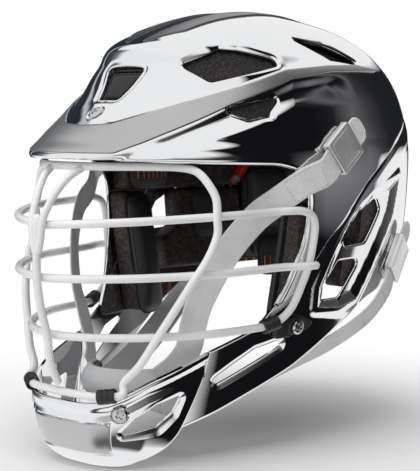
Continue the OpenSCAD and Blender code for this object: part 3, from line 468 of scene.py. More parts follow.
def triangulated(surface, edges, outline, lines, step, guides=None, fine=None):
    """Mesh of the chart inside the outline.

    Returns the chart, its triangles, (drop, tilt, way inwards) of each point, and the points on each edge. guides are
    rows of points that follow the relief. Where they are given, all rows of the edges' profiles are laid too, and the
    mesh is finer where fine says so."""
    outer = guides is not None
    pts, cons, carried, edge_rows, base = [], [], [], [], 0
    for e in edges:
        d = np.array([c + f * e.width for c, f, _, _ in e.profile])
        drop = np.array([c + f * e.depth for _, _, c, f in e.profile])
        slope = np.zeros_like(d)
        slope[1:-1] = np.arctan2(drop[:-2] - drop[2:], np.maximum(d[2:] - d[:-2], 1e-3))
        slope[0] = RIM_TILT
        edge_rows.append(np.arange(base, base + len(e.chart)))
        for k in range(len(e.profile) if outer else 1):
            chart = surface.from_space(e.q + e.b * d[k][:, None]) if k else e.chart
            for end in (0, -1):
                if k and not e.closed and abs(e.q[end, 0]) < ON_PLANE:
                    chart[end, 0] = e.chart[end, 0]
            m = len(chart)
            pts.append(chart)
            carried.append(np.column_stack([drop[k], slope[k], e.b]))
            cons += [(base + i, base + (i + 1) % m) for i in range(m if e.closed else m - 1)]
            base += m
    edge_points = np.vstack(pts)
    lo, hi = outline.min(0), outline.max(0)
    grid, extra = staggered(lo, hi, step), list(guides or [])
    for p, q in lines:
        extra.append(p + (q - p) * np.linspace(0, 1, max(2, int(np.linalg.norm(q - p) / step)) + 1)[:, None])
    extra = np.vstack(extra)
    if outer:
        more = staggered(lo, hi, step / 2)
        in_fine = [fine(surface.base(*surface.to_angle(q))) for q in (grid, more)]
        grid = np.vstack([grid[~in_fine[0]], more[in_fine[1]]])
    for p, q in lines:
        way = (q - p) / max(np.linalg.norm(q - p), 1e-9)
        grid = grid[np.abs((grid[:, 0] - p[0]) * way[1] - (grid[:, 1] - p[1]) * way[0]) > 0.45 * step]
    holes = [e.chart for e in edges if e.hole]
    grid = grid[inside(grid, outline)]
    for hole in holes:
        grid = grid[~inside(grid, hole)]
    grid = grid[nearest(grid, edge_points)[0] > (0.55 * step * 0.6 if outer else 0.4 * step)]
    extra = extra[nearest(extra, edge_points)[0] > 0.3]
    if guides:
        grid = grid[nearest(grid, np.vstack(guides))[0] > 1.12]
        for hole in holes:
            extra = extra[~inside(extra, hole)]
    for e in edges if outer else ():
        reach = e.profile[-1][0] + e.profile[-1][1] * e.width
        (far, near), (far_extra, near_extra) = nearest(grid, e.chart), nearest(extra, e.chart)
        grid, extra = grid[far > reach[near] + 0.3 * step], extra[far_extra > reach[near_extra] + 0.2]
    total = np.vstack([edge_points, extra, grid])
    carried = np.vstack(carried + [np.zeros((len(total) - len(edge_points) + 1, 5))])
    verts, _, tris, origin, _, _ = delaunay_2d_cdt([Vector(p) for p in total], cons, [], 0, 1e-7)
    chart, tris = np.array([[v.x, v.y] for v in verts]), np.array([list(t) for t in tris])
    mid = chart[tris].mean(1)
    keep = inside(mid, outline)
    for hole in holes:
        keep &= ~inside(mid, hole)
    d1, d2 = chart[tris[:, 1]] - chart[tris[:, 0]], chart[tris[:, 2]] - chart[tris[:, 0]]
    keep &= np.abs(d1[:, 0] * d2[:, 1] - d1[:, 1] * d2[:, 0]) > 1e-6
    where = {k: i for i, o in enumerate(origin) for k in o}
    return (chart, tris[keep], carried[[o[0] if o else -1 for o in origin]],
            [np.array([where[i] for i in row]) for row in edge_rows])


def moulding(surface, edges, outline, lines, spacing, fine, coarse, wall, cap=False, guides=()):
    """Moulded shell with both its faces: a part, and its corner normals. The wearer's left is built, then mirrored.

    outline is its border in the chart, and lines are the stretches of it that have no edge."""
    chart, f, carried, rows_out = triangulated(surface, edges, outline, lines, spacing, list(guides), fine)
    a, u = surface.to_angle(chart)
    drop, tilt, inward = carried[:, 0], carried[:, 1:2], carried[:, 2:]
    outer = surface.place(a, u, drop)
    n = unit(surface.normal(a, u) * np.cos(tilt) - inward * np.sin(tilt))
    chart, g, _, rows_in = triangulated(surface, edges, outline, lines, coarse)
    a2, u2 = surface.to_angle(chart)
    n2 = -surface.base_normal(a2, u2)
    inner = surface.base(a2, u2) + n2 * wall
    f, g = along_normals(outer, f, n), along_normals(inner, g, n2)
    base = len(outer)
    points = np.vstack([outer, inner])
    faces = [tuple(t) for t in f] + [tuple(t + base) for t in g]
    corner = [n[f].reshape(-1, 3), n2[g].reshape(-1, 3)]
    for e, ro, ri in zip(edges, rows_out, rows_in):
        m = len(ro)
        for i in range(m if e.closed else m - 1):
            k = (i + 1) % m
            quad, out = [ro[i], ro[k], ri[k] + base, ri[i] + base], [-e.b[i], -e.b[k], -e.b[k], -e.b[i]]
            way = np.cross(points[quad[1]] - points[quad[0]], points[quad[3]] - points[quad[0]])
            if way @ (out[0] + out[1]) < 0:
                quad, out = quad[::-1], out[::-1]
            faces.append(tuple(quad))
            corner.append(np.array(out))
    for ring_a, ring_u, shift, sign in ((a, u, 0, 1), (a2, u2, base, -1)) if cap else ():
        ring = np.where(ring_u > surface.top - 1e-4)[0]
        ring = ring[np.argsort(ring_a[ring])] + shift
        points = np.vstack([points, [[0, surface.mid, points[ring][:, 2].mean()]]])
        for i, k in zip(ring[:-1], ring[1:]):
            t = (i, k, len(points) - 1)
            if np.cross(points[k] - points[i], points[-1] - points[i])[2] * sign < 0:
                t = t[::-1]
            faces.append(t)
            corner.append(np.array([[0, 0, sign]] * 3, float))
    corner = np.vstack(corner)
    on_plane = np.abs(points[:, 0]) < ON_PLANE
    points[on_plane, 0] = 0
    other = np.where(on_plane, np.arange(len(points)), len(points) + np.cumsum(~on_plane) - 1)
    back = [tuple(int(other[i]) for i in reversed(q)) for q in faces]
    back_n = [corner[end - len(q):end][::-1] * MIRROR for q, end in zip(faces, np.cumsum([len(q) for q in faces]))]
    return (np.vstack([points, points[~on_plane] * MIRROR]), faces + back), np.vstack([corner] + back_n)


# ---------------------------------------------------------------- finishes
class Value:
    """An output of a node. Arithmetic with it adds math nodes to its tree."""

    def __init__(self, socket):
        self.socket = socket

    def math(self, op, *values):
        made = node(self.socket.id_data, "ShaderNodeMath", {"operation": op},
                    **{f"i{k}": v for k, v in enumerate(values)})
        return Value(made.outputs[0])

    def clamp(self):
        self.socket.node.use_clamp = True
        return self

    __add__ = lambda a, b: a.math("ADD", a, b)
    __radd__ = lambda a, b: a.math("ADD", b, a)
    __sub__ = lambda a, b: a.math("SUBTRACT", a, b)
    __rsub__ = lambda a, b: a.math("SUBTRACT", b, a)
    __mul__ = lambda a, b: a.math("MULTIPLY", a, b)
    __truediv__ = lambda a, b: a.math("DIVIDE", a, b)
    __rtruediv__ = lambda a, b: a.math("DIVIDE", b, a)
    __pow__ = lambda a, b: a.math("POWER", a, b)
    __gt__ = lambda a, b: a.math("GREATER_THAN", a, b)
    __lt__ = lambda a, b: a.math("LESS_THAN", a, b)
    __abs__ = lambda a: a.math("ABSOLUTE", a)


def feed(tree, socket, value):
    value = value.socket if isinstance(value, Value) else value
    if isinstance(value, bpy.types.NodeSocket):
        tree.links.new(value, socket)
    else:
        socket.default_value = value


def node(tree, kind, settings=None, **inputs):
    """A node with its settings, and its inputs by name, or by number as i0, i1 and so on."""
    n = tree.nodes.new(kind)
    for k, v in (settings or {}).items():
        setattr(n, k, v)
    for k, v in inputs.items():
        feed(tree, n.inputs[int(k[1:]) if k[1:].isdigit() else k.replace("_", " ")], v)
    return n


def ramp(tree, fac, stops):
    n = tree.nodes.new("ShaderNodeValToRGB")
    while len(n.color_ramp.elements) < len(stops):
        n.color_ramp.elements.new(0.5)
    for e, (at, colour) in zip(n.color_ramp.elements, stops):
        e.position = at
        e.color = (*colour, 1)
    feed(tree, n.inputs[0], fac)
    return Value(n.outputs[0])


def mixed(tree, factor, a, b, blend="MIX"):
    n = node(tree, "ShaderNodeMix", {"data_type": "RGBA", "blend_type": blend}, Factor=factor, A=a, B=b)
    return Value(n.outputs["Result"])


def noise(tree, where, scale, detail, **more):
    n = node(tree, "ShaderNodeTexNoise", Vector=where, Scale=scale, Detail=detail, **more)
    return Value(n.outputs["Fac"]), n


def bumped(tree, strength, height, distance):
    return node(tree, "ShaderNodeBump", Strength=strength, Height=height, Distance=distance).outputs["Normal"]


SOCKET_KINDS = {"Vector": "Vector", "Normal": "Vector", "Color": "Color", "Dark": "Color", "Light": "Color"}


def new_group(name, inputs, outputs):
    """A node group, from its inputs' defaults: the tree, its inputs by name, and a function that feeds its outputs."""
    tree = bpy.data.node_groups.new(name, "ShaderNodeTree")
    for side, keys in (("INPUT", inputs), ("OUTPUT", outputs)):
        for key in keys:
            made = tree.interface.new_socket(key.replace("_", " "), in_out=side,
                                             socket_type="NodeSocket" + SOCKET_KINDS.get(key, "Float"))
            if side == "INPUT" and inputs[key] is not None:
                made.default_value = inputs[key]
    came, goes = tree.nodes.new("NodeGroupInput"), tree.nodes.new("NodeGroupOutput")

    def give(**values):
        for key, v in values.items():
            feed(tree, goes.inputs[key], v)
    return tree, {key: Value(came.outputs[key.replace("_", " ")]) for key in inputs}, give


def make_grain():
    """Fine surface grain: a bumped normal and a roughness that wanders a little."""
    tree, given, give = new_group("surface grain", dict(
        Vector=None, Size_mm=1.0, Bump=0.2, Height_mm=0.05, Roughness=0.4, Spread=0.05), ("Normal", "Roughness", "Mask"))
    fine, _ = noise(tree, given["Vector"], 1000.0 / given["Size_mm"], 3.0, Roughness=0.6)
    broad, _ = noise(tree, given["Vector"], 28.0, 4.0, Roughness=0.62)
    give(Normal=bumped(tree, given["Bump"], fine, given["Height_mm"] / 1000.0),
         Roughness=(given["Roughness"] + (broad - 0.5) * given["Spread"] * 4.0).clamp(), Mask=broad)
    return tree


def make_scuffs():
    """Thin random scratches and dust, as a mask."""
    tree, given, give = new_group("scuffs and dust", dict(Vector=None, Size_mm=30.0, Amount=0.3), ("Mask",))
    scale = 1000.0 / given["Size_mm"]
    _, bend = noise(tree, given["Vector"], scale, 2.0)
    moved = node(tree, "ShaderNodeVectorMath", {"operation": "MULTIPLY_ADD"}, i0=bend.outputs["Color"],
                 i1=(0.03, 0.03, 0.03), i2=given["Vector"])
    lines = node(tree, "ShaderNodeTexVoronoi", {"feature": "DISTANCE_TO_EDGE"}, Vector=moved.outputs[0], Scale=scale)
    spots, _ = noise(tree, given["Vector"], 60.0, 3.0)
    give(Mask=((Value(lines.outputs["Distance"]) < 0.008) * (spots > 0.6) * given["Amount"]).clamp())
    return tree


def make_beads():
    """Moulded bead foam: beads pressed together, painted shade in the creases between them and mixed brown and grey
    beads.
    """
    tree, given, give = new_group("bead foam", dict(Vector=None, Bead_mm=2.4, Dark=(0.008, 0.0065, 0.006, 1),
                                                    Light=(0.105, 0.075, 0.066, 1)), ("Color", "Height", "Normal"))
    beads = dict(Vector=given["Vector"], Scale=1000.0 / given["Bead_mm"])
    cell = node(tree, "ShaderNodeTexVoronoi", {"feature": "F1"}, **beads)
    gap = node(tree, "ShaderNodeTexVoronoi", {"feature": "DISTANCE_TO_EDGE"}, **beads)
    tone = Value(node(tree, "ShaderNodeSeparateColor", Color=cell.outputs["Color"]).outputs[0])
    speck, _ = noise(tree, given["Vector"], 900.0, 2.0)
    colour = mixed(tree, (tone * 0.75 + speck * 0.35).clamp(), given["Dark"], given["Light"])
    edge = (Value(gap.outputs["Distance"]) * 9.0).clamp()
    # Painted shade: the colour is darkened in the creases between beads, where the bump sinks.
    crease_shade = ramp(tree, edge, [(0, (0.25, 0.25, 0.25)), (1, (1, 1, 1))])
    give(Color=mixed(tree, 1.0, colour, crease_shade, "MULTIPLY"), Height=edge, Normal=bumped(tree, 0.6, edge, 0.0004))
    return tree


def make_weave():
    """Woven yarns from a flat map in metres: a height, and a mask of the gaps between yarns."""
    tree, given, give = new_group("woven yarns", dict(Vector=None, Across_mm=1.0, Along_mm=1.0), ("Height", "Gap"))
    xy = node(tree, "ShaderNodeSeparateXYZ", Vector=given["Vector"])
    half_turn = 1000.0 * math.pi
    u = Value(xy.outputs[0]) * (half_turn / given["Across_mm"])
    v = Value(xy.outputs[1]) * (half_turn / given["Along_mm"])
    column = u / math.pi
    shifted = v + column.math("FLOOR", column) * (math.pi / 2)
    across, along = abs(u.math("SINE", u)), abs(shifted.math("SINE", shifted))
    height = across ** 0.5 * (0.45 + along ** 0.6 * 0.55)
    give(Height=height, Gap=1.0 - (height * 1.6).clamp())
    return tree


GRAIN, SCUFFS, BEADS, WEAVE = make_grain(), make_scuffs(), make_beads(), make_weave()


def placed_group(tree, shared, **inputs):
    """A shared group in a material: its outputs by name."""
    return node(tree, "ShaderNodeGroup", {"node_tree": shared}, **inputs).outputs


def new_material(name):
    mat = bpy.data.materials.new(name)
    mat.use_nodes = True
    tree = mat.node_tree
    return mat, tree, tree.nodes["Principled BSDF"], tree.nodes.new("ShaderNodeTexCoord").outputs


def set_shader(tree, shader, **inputs):
    for key, v in inputs.items():
        feed(tree, shader.inputs[key.replace("_", " ")], v)


def finish(name, colour, metallic=0.0, rough=0.4, spread=0.03, size=1.0, bump=0.15, height=0.04, tint=0.06, scuff=0.0,
           **sockets):
    """A moulded or metal finish with grain, a wandering roughness and slight colour variation."""
    mat, tree, shader, coord = new_material(name)
    where = coord["Object"]
    grain = placed_group(tree, GRAIN, Vector=where, Size_mm=size, Bump=bump, Height_mm=height, Roughness=rough,
                         Spread=spread)
    low = [max(0.0, c * (1 - tint)) for c in colour]
    high = [min(1.0, c * (1 + tint)) for c in colour]
    roughness = Value(grain["Roughness"])
    if scuff:
        marks = placed_group(tree, SCUFFS, Vector=where, Size_mm=22.0, Amount=scuff)
        roughness = (roughness + Value(marks["Mask"]) * 0.3).clamp()
    set_shader(tree, shader, Base_Color=ramp(tree, grain["Mask"], [(0.3, low), (0.7, high)]), Roughness=roughness,
               Normal=grain["Normal"], Metallic=metallic, **sockets)
    return mat


def cloth_finish(name, colour, across, along, gap_shade=0.6, rough=0.85, sheen=0.3, lines=None, strength=0.5):
    """Woven or knitted cloth. lines = (colour, pitch, width, low, high) adds moulded bars across the flat map."""
    mat, tree, shader, coord = new_material(name)
    weave = placed_group(tree, WEAVE, Vector=coord["UV"], Across_mm=across, Along_mm=along)
    broad, _ = noise(tree, coord["Object"], 45.0, 4.0)
    base = ramp(tree, broad, [(0.3, [c * 0.9 for c in colour]), (0.7, [min(1, c * 1.08) for c in colour])])
    # Painted shade: the gaps between yarns are darkened, as deep as gap_shade says.
    result = mixed(tree, Value(weave["Gap"]) * gap_shade, base, (0.25, 0.25, 0.26, 1), "MULTIPLY")
    height = Value(weave["Height"])
    if lines:
        paint, pitch, width, low, high = lines
        x, y, _ = (Value(s) for s in node(tree, "ShaderNodeSeparateXYZ", Vector=coord["UV"]).outputs)
        turn = x * (1000.0 / pitch)
        turn = turn.math("FRACT", turn)
        bar = (abs(turn - 0.5) < width / pitch / 2) * ((y > low / 1000.0) * (y < high / 1000.0))
        result = mixed(tree, bar, result, (*paint, 1))
        height = height - bar * 1.5
    set_shader(tree, shader, Base_Color=result, Normal=bumped(tree, strength, height, 0.0003),
               Roughness=(rough + 0.1 - broad * 0.2).clamp(), Sheen_Weight=sheen)
    return mat


def foam_finish(name="bead foam", **colours):
    mat, tree, shader, coord = new_material(name)
    beads = placed_group(tree, BEADS, Vector=coord["Object"], Bead_mm=2.3, **colours)
    set_shader(tree, shader, Base_Color=beads["Color"], Normal=beads["Normal"],
               Roughness=0.72 - Value(beads["Height"]) * 0.22)
    return mat


# Each finish: name, colour, metallic, roughness and its spread, grain size in mm, bump, height in mm, tint, scuffs.
CHROME = finish("mirror chrome", (0.88, 0.885, 0.895), 1.0, 0.035, 0.006, 9.0, 0.02, 0.02, 0.012, 0.12)
SATIN = finish("satin silver paint", (0.53, 0.53, 0.53), 0.93, 0.33, 0.03, 0.35, 0.12, 0.012, 0.035)
STRIPE = finish("dark satin stripe", (0.2, 0.2, 0.205), 0.85, 0.32, 0.03, 0.35, 0.12, 0.012, 0.05)
PLATE = finish("satin plate", (0.56, 0.56, 0.57), 0.95, 0.2, 0.03, 0.5, 0.1, 0.01, 0.03)
SCREW = finish("polished screw steel", (0.62, 0.62, 0.63), 1.0, 0.16, 0.04, 0.7, 0.12, 0.02, 0.06, 0.4)
COATING = finish("white powder coating", (0.93, 0.93, 0.93), 0.0, 0.3, 0.04, 0.8, 0.15, 0.015, 0.02, Coat_Weight=0.3,
                 Coat_Roughness=0.08)
CLIP = finish("black clip plastic", (0.022, 0.022, 0.023), 0.0, 0.42, 0.05, 0.5, 0.2, 0.03, 0.15)
GLOSS_BLACK = finish("gloss black plug", (0.006, 0.006, 0.0065), 0.0, 0.22, 0.03, 0.8, 0.1, 0.015, 0.2,
                     Specular_IOR_Level=0.22)
FOAM = foam_finish()
# A darker copy of the bead foam for the crown liner, which lies deep under the shell: painted shade.
FOAM_SHADED = foam_finish("bead foam in painted shade", Dark=(0.002, 0.0018, 0.0018, 1), Light=(0.034, 0.026, 0.024, 1))
PAD_CLOTH = ((0.03, 0.03, 0.031), 1.1, 1.1, 0.5, 0.75, 0.15)
ORANGE_BARS = ((0.72, 0.2, 0.03), 5.2, 0.9)
PAD = cloth_finish("pad fabric", *PAD_CLOTH)
PAD_LINED = cloth_finish("pad fabric with orange bars", *PAD_CLOTH, (*ORANGE_BARS, 4.0, 15.0))
PAD_SIDE = cloth_finish("side pad fabric with orange bars", *PAD_CLOTH, (*ORANGE_BARS, 6.0, 15.5))
MOULDED = finish("moulded pad skin", (0.03, 0.031, 0.031), 0.0, 0.5, 0.05, 0.6, 0.2, 0.03, 0.15)
FIT = finish("grey fit pad skin", (0.055, 0.06, 0.058), 0.0, 0.5, 0.05, 0.6, 0.2, 0.03, 0.1)
LEVER = finish("red lever plastic", (0.5, 0.012, 0.014), 0.0, 0.3, 0.04, 0.8, 0.1, 0.02, 0.08)
WEBBING = cloth_finish("white webbing", (0.86, 0.86, 0.855), 1.5, 0.75, 0.28, 0.7, 0.25, strength=0.6)
BUCKLE = finish("silver buckle plastic", (0.8, 0.8, 0.79), 0.6, 0.2, 0.04, 0.6, 0.1, 0.02, 0.05, 0.2)
CUP = finish("light grey cup shell", (0.68, 0.685, 0.69), 0.0, 0.36, 0.04, 0.9, 0.2, 0.03, 0.05)
CUP_LINING = cloth_finish("cup lining", (0.07, 0.07, 0.072), 1.0, 1.0, 0.5, 0.85, 0.3)
STITCH = finish("stitch thread", (0.6, 0.6, 0.6), 0.0, 0.6, 0.04, 0.5, 0.2, 0.02, 0.1)


# ---------------------------------------------------------------- shells
def side_line(surface, corners, step):
    """Line in the chart through corners of the side view, with its corners eased."""
    c = np.array(corners, float)
    for _ in range(2):
        cut = [c[0]]
        for p, q in zip(c[:-1], c[1:]):
            k = min(0.25, 2.5 / max(np.linalg.norm(q - p), 1e-9))
            cut += [p + (q - p) * k, p + (q - p) * (1 - k)]
        c = np.array(cut + [c[-1]])
    c = resample(c, 0.03)
    t, _ = surface.reach(c[:, 0], table_row(surface.table, surface.at(c[:, 1])))
    keep = np.abs(t) <= 1
    c, t = c[keep], t[keep]
    chart = surface.from_side(c[:, 0], c[:, 1])
    if abs(t[0]) > 0.998:
        chart = np.vstack([[surface.along[0 if t[0] < 0 else -1], chart[0, 1]], chart])
    if abs(t[-1]) > 0.998:
        chart = np.vstack([chart, [surface.along[0 if t[-1] < 0 else -1], chart[-1, 1]]])
    return resample(chart, step)


def side_hole(surface, corners, r, step=1.1):
    q = round_hull(corners, r, 0.4)
    return resample(surface.from_side(q[:, 0], q[:, 1]), step, True)


def facing(width_a, width_b, toward):
    """Bevel width over a hole: width_a on the side that toward points to, width_b opposite."""
    def widths(chart):
        d = unit(chart - chart.mean(0))
        k = smooth(0.5 + 0.5 * (d @ unit(np.array(toward, float))))
        return width_b + (width_a - width_b) * k
    return widths


def fade(t, lo, hi, soft):
    return smooth((t - lo) / soft + 0.5) * (1 - smooth((t - hi) / soft + 0.5))


# Heights of the trim's lower and upper edge, by degrees from the nose.
TRIM_LOW = [[0, BROW + 8], [22, BROW + 8], [29, BROW + 15], [50, BROW + 38], [59, BROW + 45], [72, BROW + 55],
            [90, BROW + 60], [104, BROW + 61], [120, BROW + 61.5]]
TRIM_HIGH = [[0, BROW + 25], [12, BROW + 26], [31, BROW + 38], [52, BROW + 50], [70, BROW + 61], [90, BROW + 64.5],
             [104, BROW + 65.5], [120, BROW + 62]]
PLUG_LEAN = math.radians(42)
PLUG_MID = np.array([0, -89.5, 247.0])
PLUG_UP = np.array([0, math.sin(PLUG_LEAN), math.cos(PLUG_LEAN)])
PLUG_OUT = np.array([0, -math.cos(PLUG_LEAN), math.sin(PLUG_LEAN)])
PLUG_RIM = 3.4
SCREW_SPOT = np.array([0, -112.0, 230.82])
CHIN_SCREW_SPOT = np.array([float(chin_x(-131, 39)), -131, 39])
TRIM_LIFT, TRIM_T = 0.12, 1.05
SLOT_UP = [[60, 166], [63, 162], [50, 144], [31, 143], [41, 157]]
SLOT_LOW = [[26, 125], [41, 125], [27, 107], [13, 107]]
JAW_HOLE = [[-63, 54], [-52, 62], [-38, 71], [-22, 75]]


def plug_outline(r, step):
    return round_hull([[-14, 11], [14, 11], [-7, -10], [7, -10]], r, step)


def plug_place(x, y, out):
    out = np.broadcast_to(out, np.shape(x))
    return PLUG_MID + np.outer(x, [1, 0, 0]) + np.outer(y, PLUG_UP) + np.outer(out, PLUG_OUT)


def line_gap(line, p):
    d = np.full(len(p), 1e9)
    for a, b in zip(line[:-1], line[1:]):
        ab = b - a
        t = np.clip(((p - a) @ ab) / max(ab @ ab, 1e-9), 0, 1)
        d = np.minimum(d, np.linalg.norm(p - a - t[:, None] * ab, axis=1))
    return d


def distance_to(polygon, p):
    d = line_gap(np.vstack([polygon, polygon[:1]]), p)
    return np.where(inside(p, polygon), -d, d)


VENT_FRONT = np.array([[-69, 261], [-48, 271], [-38.5, 270.2], [-19, 264.8], [-63.5, 254.2]], float)


def crown_relief(p, a, u):
    s, z = a + 90, p[:, 2]
    w = lookup(s, TRIM_LOW) - z
    out = -2.5 * smooth((w - 0.6) / 6.6) * (1 - smooth((w - 7.6) / 15.0)) * fade(s, 21, 92, 10)
    w = z - lookup(s, TRIM_HIGH)
    clear = smooth((distance_to(VENT_FRONT, p[:, 1:]) - 3.0) / 8.0)
    out -= 0.9 * smooth((w + 0.4) / 2.6) * (1 - smooth((w - 4) / 12.0)) * fade(s, 10, 84, 14) * clear
    flat = p - PLUG_MID
    x, y = p[:, 0], flat @ PLUG_UP
    near = (z < 275) & (p[:, 1] < -40)
    d = distance_to(plug_outline(PLUG_RIM, 2.0), np.stack([x, y], -1))
    out -= np.where(near, 0.9 * (1 - smooth((d - 2.0) / 2.4)), 0)
    r = np.linalg.norm(p - SCREW_SPOT, axis=1)
    out -= 1.2 * (1 - smooth((r - 5.6) / 1.3))
    return out


PANEL = np.array([[92, 184], [70, 180], [54, 177], [38, 168], [28, 158], [20, 146], [12, 130], [5, 112], [6, 99],
                  [28, 97], [46, 101],
                  [57, 117], [70, 137], [84, 158]], float)
SEAM_TURN = np.array([[180, 242], [130, 223], [91, 206], [68, 192], [50, 180], [35, 166], [24, 153], [11, 141]], float)


def panel_relief(p, a, u):
    """Raised frame along the seam and round the panel, facets that fall to the two slots, a shallow crease behind."""
    yz = p[:, 1:]
    rim = 1.5 * smooth((15 - line_gap(SEAM_TURN, yz)) / 9.0) * fade(p[:, 1], 24, 150, 22)
    d = np.full(len(p), -99.0)
    box = (yz[:, 0] > -16) & (yz[:, 0] < 112) & (yz[:, 1] > 80) & (yz[:, 1] < 200)
    if box.any():
        d[box] = -distance_to(PANEL, yz[box])
    inner = np.clip(d / 6.5, 0, 1)
    out = np.maximum(rim, 1.5 * smooth((d + 9.0) / 7.0)) * (1 - inner) - 1.6 * inner
    line = np.abs(p[:, 2] - (100 + 0.18 * (p[:, 1] - 60)))
    out -= 0.9 * (1 - smooth(line / 9.0)) * fade(p[:, 1], 92, 150, 14)
    return out


CHIN_CREST = [-147, -137, -127, -115, -72], [45.5, 47.5, 52.5, 59, 74]


def chin_relief(p, a, u):
    s, z = np.abs(a + 90), p[:, 2]
    top = np.interp(p[:, 1], *CHIN_CREST)
    w = top - z
    out = -1.5 * smooth((w - 2.2) / 5.4) * (1 - smooth((w - 8.0) / 7.0)) * (1 - 0.55 * (1 - smooth((s - 16) / 12)))
    out -= 1.6 * fade(s, -40, 30.8, 1.0) * fade(z, 11, 33, 0.9)
    out -= 0.9 * (1 - smooth((z - 2.0) / 5.0)) * smooth((s - 40) / 8)
    out -= 1.2 * (1 - smooth((np.linalg.norm(p - CHIN_SCREW_SPOT, axis=1) - 5.4) / 0.8))
    return out


CROWN = Surface(SKIN, EAR_Y, u_at, 0.0, crown_relief, u_at(BROW))
REAR = Surface(SKIN, EAR_Y, u_at, -SHELL_STEP, panel_relief, u_at(160.0))
GUARD = Surface(CHIN, CHIN_Y, chin_u, 0.0, chin_relief, chin_u(40.0))

BROW_EDGE = [[-400, BROW + 5], [-137, BROW + 5], [-113, BROW + 2], [-92, BROW + 1], [-40, BROW - 1], [-24, BROW - 5],
             [-15, BROW - 14], [-12, BROW - 26], [-14, 146], [-22, 120], [-30, 103]]
SEAM = [[400, 330], [172, 240], [130, 227], [87, 210], [64, 196], [46, 184], [31, 170], [20, 157], [7, 145], [-2, 132],
        [-12, 116], [-22, 106], [-30, 103]]
JAW_EDGE = [[-88, 21], [-62, 31], [-42, 41], [-7, 58], [28, 80], [60, 99], [95, 107], [140, 110], [400, 112]]
CHIN_TOP = [[-400, 45.5], [-146, 45.5], [-137, 47.5], [-127, 52.5], [-115, 59], [-72, 74]]
CHIN_LOW = [[-400, 0.2], [-118, 0.2], [-111, 4], [-96, 12], [-88, 21], [-74, 58]]
CHIN_HOLE = [[-127, 26], [-121, 34], [-109, 42], [-93, 46], [-97, 37], [-107, 29]]


def corner_line(surface, corners, step=1.5):
    c = resample(np.array(corners, float), step)
    return surface.from_side(c[:, 0], c[:, 1])


def pressed_hole(surface, goal):
    """Outline in the plug's plane, carried along its axis to the surface."""
    q = plug_place(goal[:, 0], goal[:, 1], 0.0)
    side = np.sign(goal[:, 0])
    for _ in range(8):
        chart = surface.from_space(q * np.stack([side, np.ones(len(q)), np.ones(len(q))], -1))
        b = surface.base(*surface.to_angle(chart))
        err = goal[:, 1] - (b - PLUG_MID) @ PLUG_UP
        q = q + np.outer(err, PLUG_UP)
        q = np.stack([q[:, 0], b[:, 1] + err * PLUG_UP[1], q[:, 2]], -1)
    return chart


def level_rows(surface, angles, height, gaps):
    """Rows of points in the chart that follow a line of the relief, at the given distances below it."""
    rows = []
    for k, gap in enumerate(gaps):
        a = angles + (angles[1] - angles[0]) * (0.5 if k % 2 else 0.0)
        z = height(a) - gap
        for _ in range(4):
            z = height(a, surface.base(a, surface.at(z))[:, 1]) - gap
        rows.append(surface.from_angle(a, surface.at(z)))
    return rows


def sweep_of(p, mid):
    """Degrees from the nose to each point, round an oval's middle."""
    return np.degrees(np.arctan2(p[:, 1] - mid, np.abs(p[:, 0]))) + 90


def crown_piece():
    brow = side_line(CROWN, BROW_EDGE, 1.9)
    seam = side_line(CROWN, SEAM, 1.9)[::-1]
    seam[0] = brow[-1]
    vents = (((VENT_FRONT, 3.2), facing(5.2, 1.1, (-0.2, 1.0)), facing(1.7, 0.4, (-0.2, 1.0))),
             (([[18, 281], [43, 277], [66, 266], [36, 268]], 1.5), facing(4.5, 1.0, (0.0, 1.0)),
              facing(1.5, 0.5, (0.0, 1.0))),
             (([[-62, 233], [-30, 240], [-38, 231], [-53, 230]], 1.5), facing(4.6, 1.2, (0.5, -1.0)),
              facing(1.5, 0.6, (0.5, -1.0))))
    plug = plug_outline(PLUG_RIM, 0.9)
    plug = plug[plug[:, 0] > 1e-3]
    plug = plug[np.argsort(np.arctan2(plug[:, 1], plug[:, 0]))]
    plug = pressed_hole(CROWN, np.vstack([[0, -13.4], plug, [0, 14.4]]))[::-1].copy()
    first, last, top = CROWN.along[0], CROWN.along[-1], CROWN.up[-1]
    plug[0, 0] = plug[-1, 0] = first
    edges = [Edge(CROWN, brow, False, BROW_LIP, 3.2, lambda c: 2.3 - 1.5 * smooth((c[:, 0] - 210) / 60)),
             Edge(CROWN, seam, False, PLAIN_RIM)]
    edges += [Edge(CROWN, side_hole(CROWN, *hole), True, CHAMFER, width, depth, hole=True)
              for hole, width, depth in vents]
    edges += [Edge(CROWN, plug, False, PLAIN_RIM)]
    lo, hi = sorted((plug[0, 1], plug[-1, 1]))
    outline = np.vstack([brow, seam[1:], [[last, top], [first, top]], plug])
    lines = np.array([[[first, brow[0, 1]], [first, lo]], [[first, hi], [first, top]],
                      [[last, seam[-1, 1]], [last, top]], [[first, top], [last, top]]])

    def fine(p):
        near_screw = np.linalg.norm(p - SCREW_SPOT, axis=1) < 9
        near_plug = (np.abs(p[:, 0]) < 24) & (np.abs((p - PLUG_MID) @ PLUG_UP) < 20) & (p[:, 1] < -50)
        below_trim = lookup(sweep_of(p, EAR_Y), TRIM_LOW) - p[:, 2] > 6
        return near_screw | near_plug | ((p[:, 1] > -80) & (p[:, 1] < 0) & (p[:, 2] > 152) & below_trim)
    guides = level_rows(CROWN, np.arange(-76.0, 9.0, 0.8), lambda a, y=0: lookup(a + 90, TRIM_LOW),
                        (-0.9, -0.2, 0.4, 1.1, 1.9, 2.8, 3.7, 4.6, 5.6, 6.8))
    guides += level_rows(CROWN, np.arange(-84.0, 3.0, 0.8), lambda a, y=0: lookup(a + 90, TRIM_HIGH),
                         (1.0, 0.3, -0.4, -1.1, -1.8, -2.6, -3.6))
    rings = [plug_outline(PLUG_RIM + wide, 1.3) for wide in (1.2, 2.0, 2.6, 3.2, 3.8, 4.4, 5.2)]
    guides += [pressed_hole(CROWN, ring[ring[:, 0] > 0.7]) for ring in rings]
    return moulding(CROWN, edges, outline, lines, 2.1, fine, 5.0, SHELL_WALL, cap=True, guides=guides)


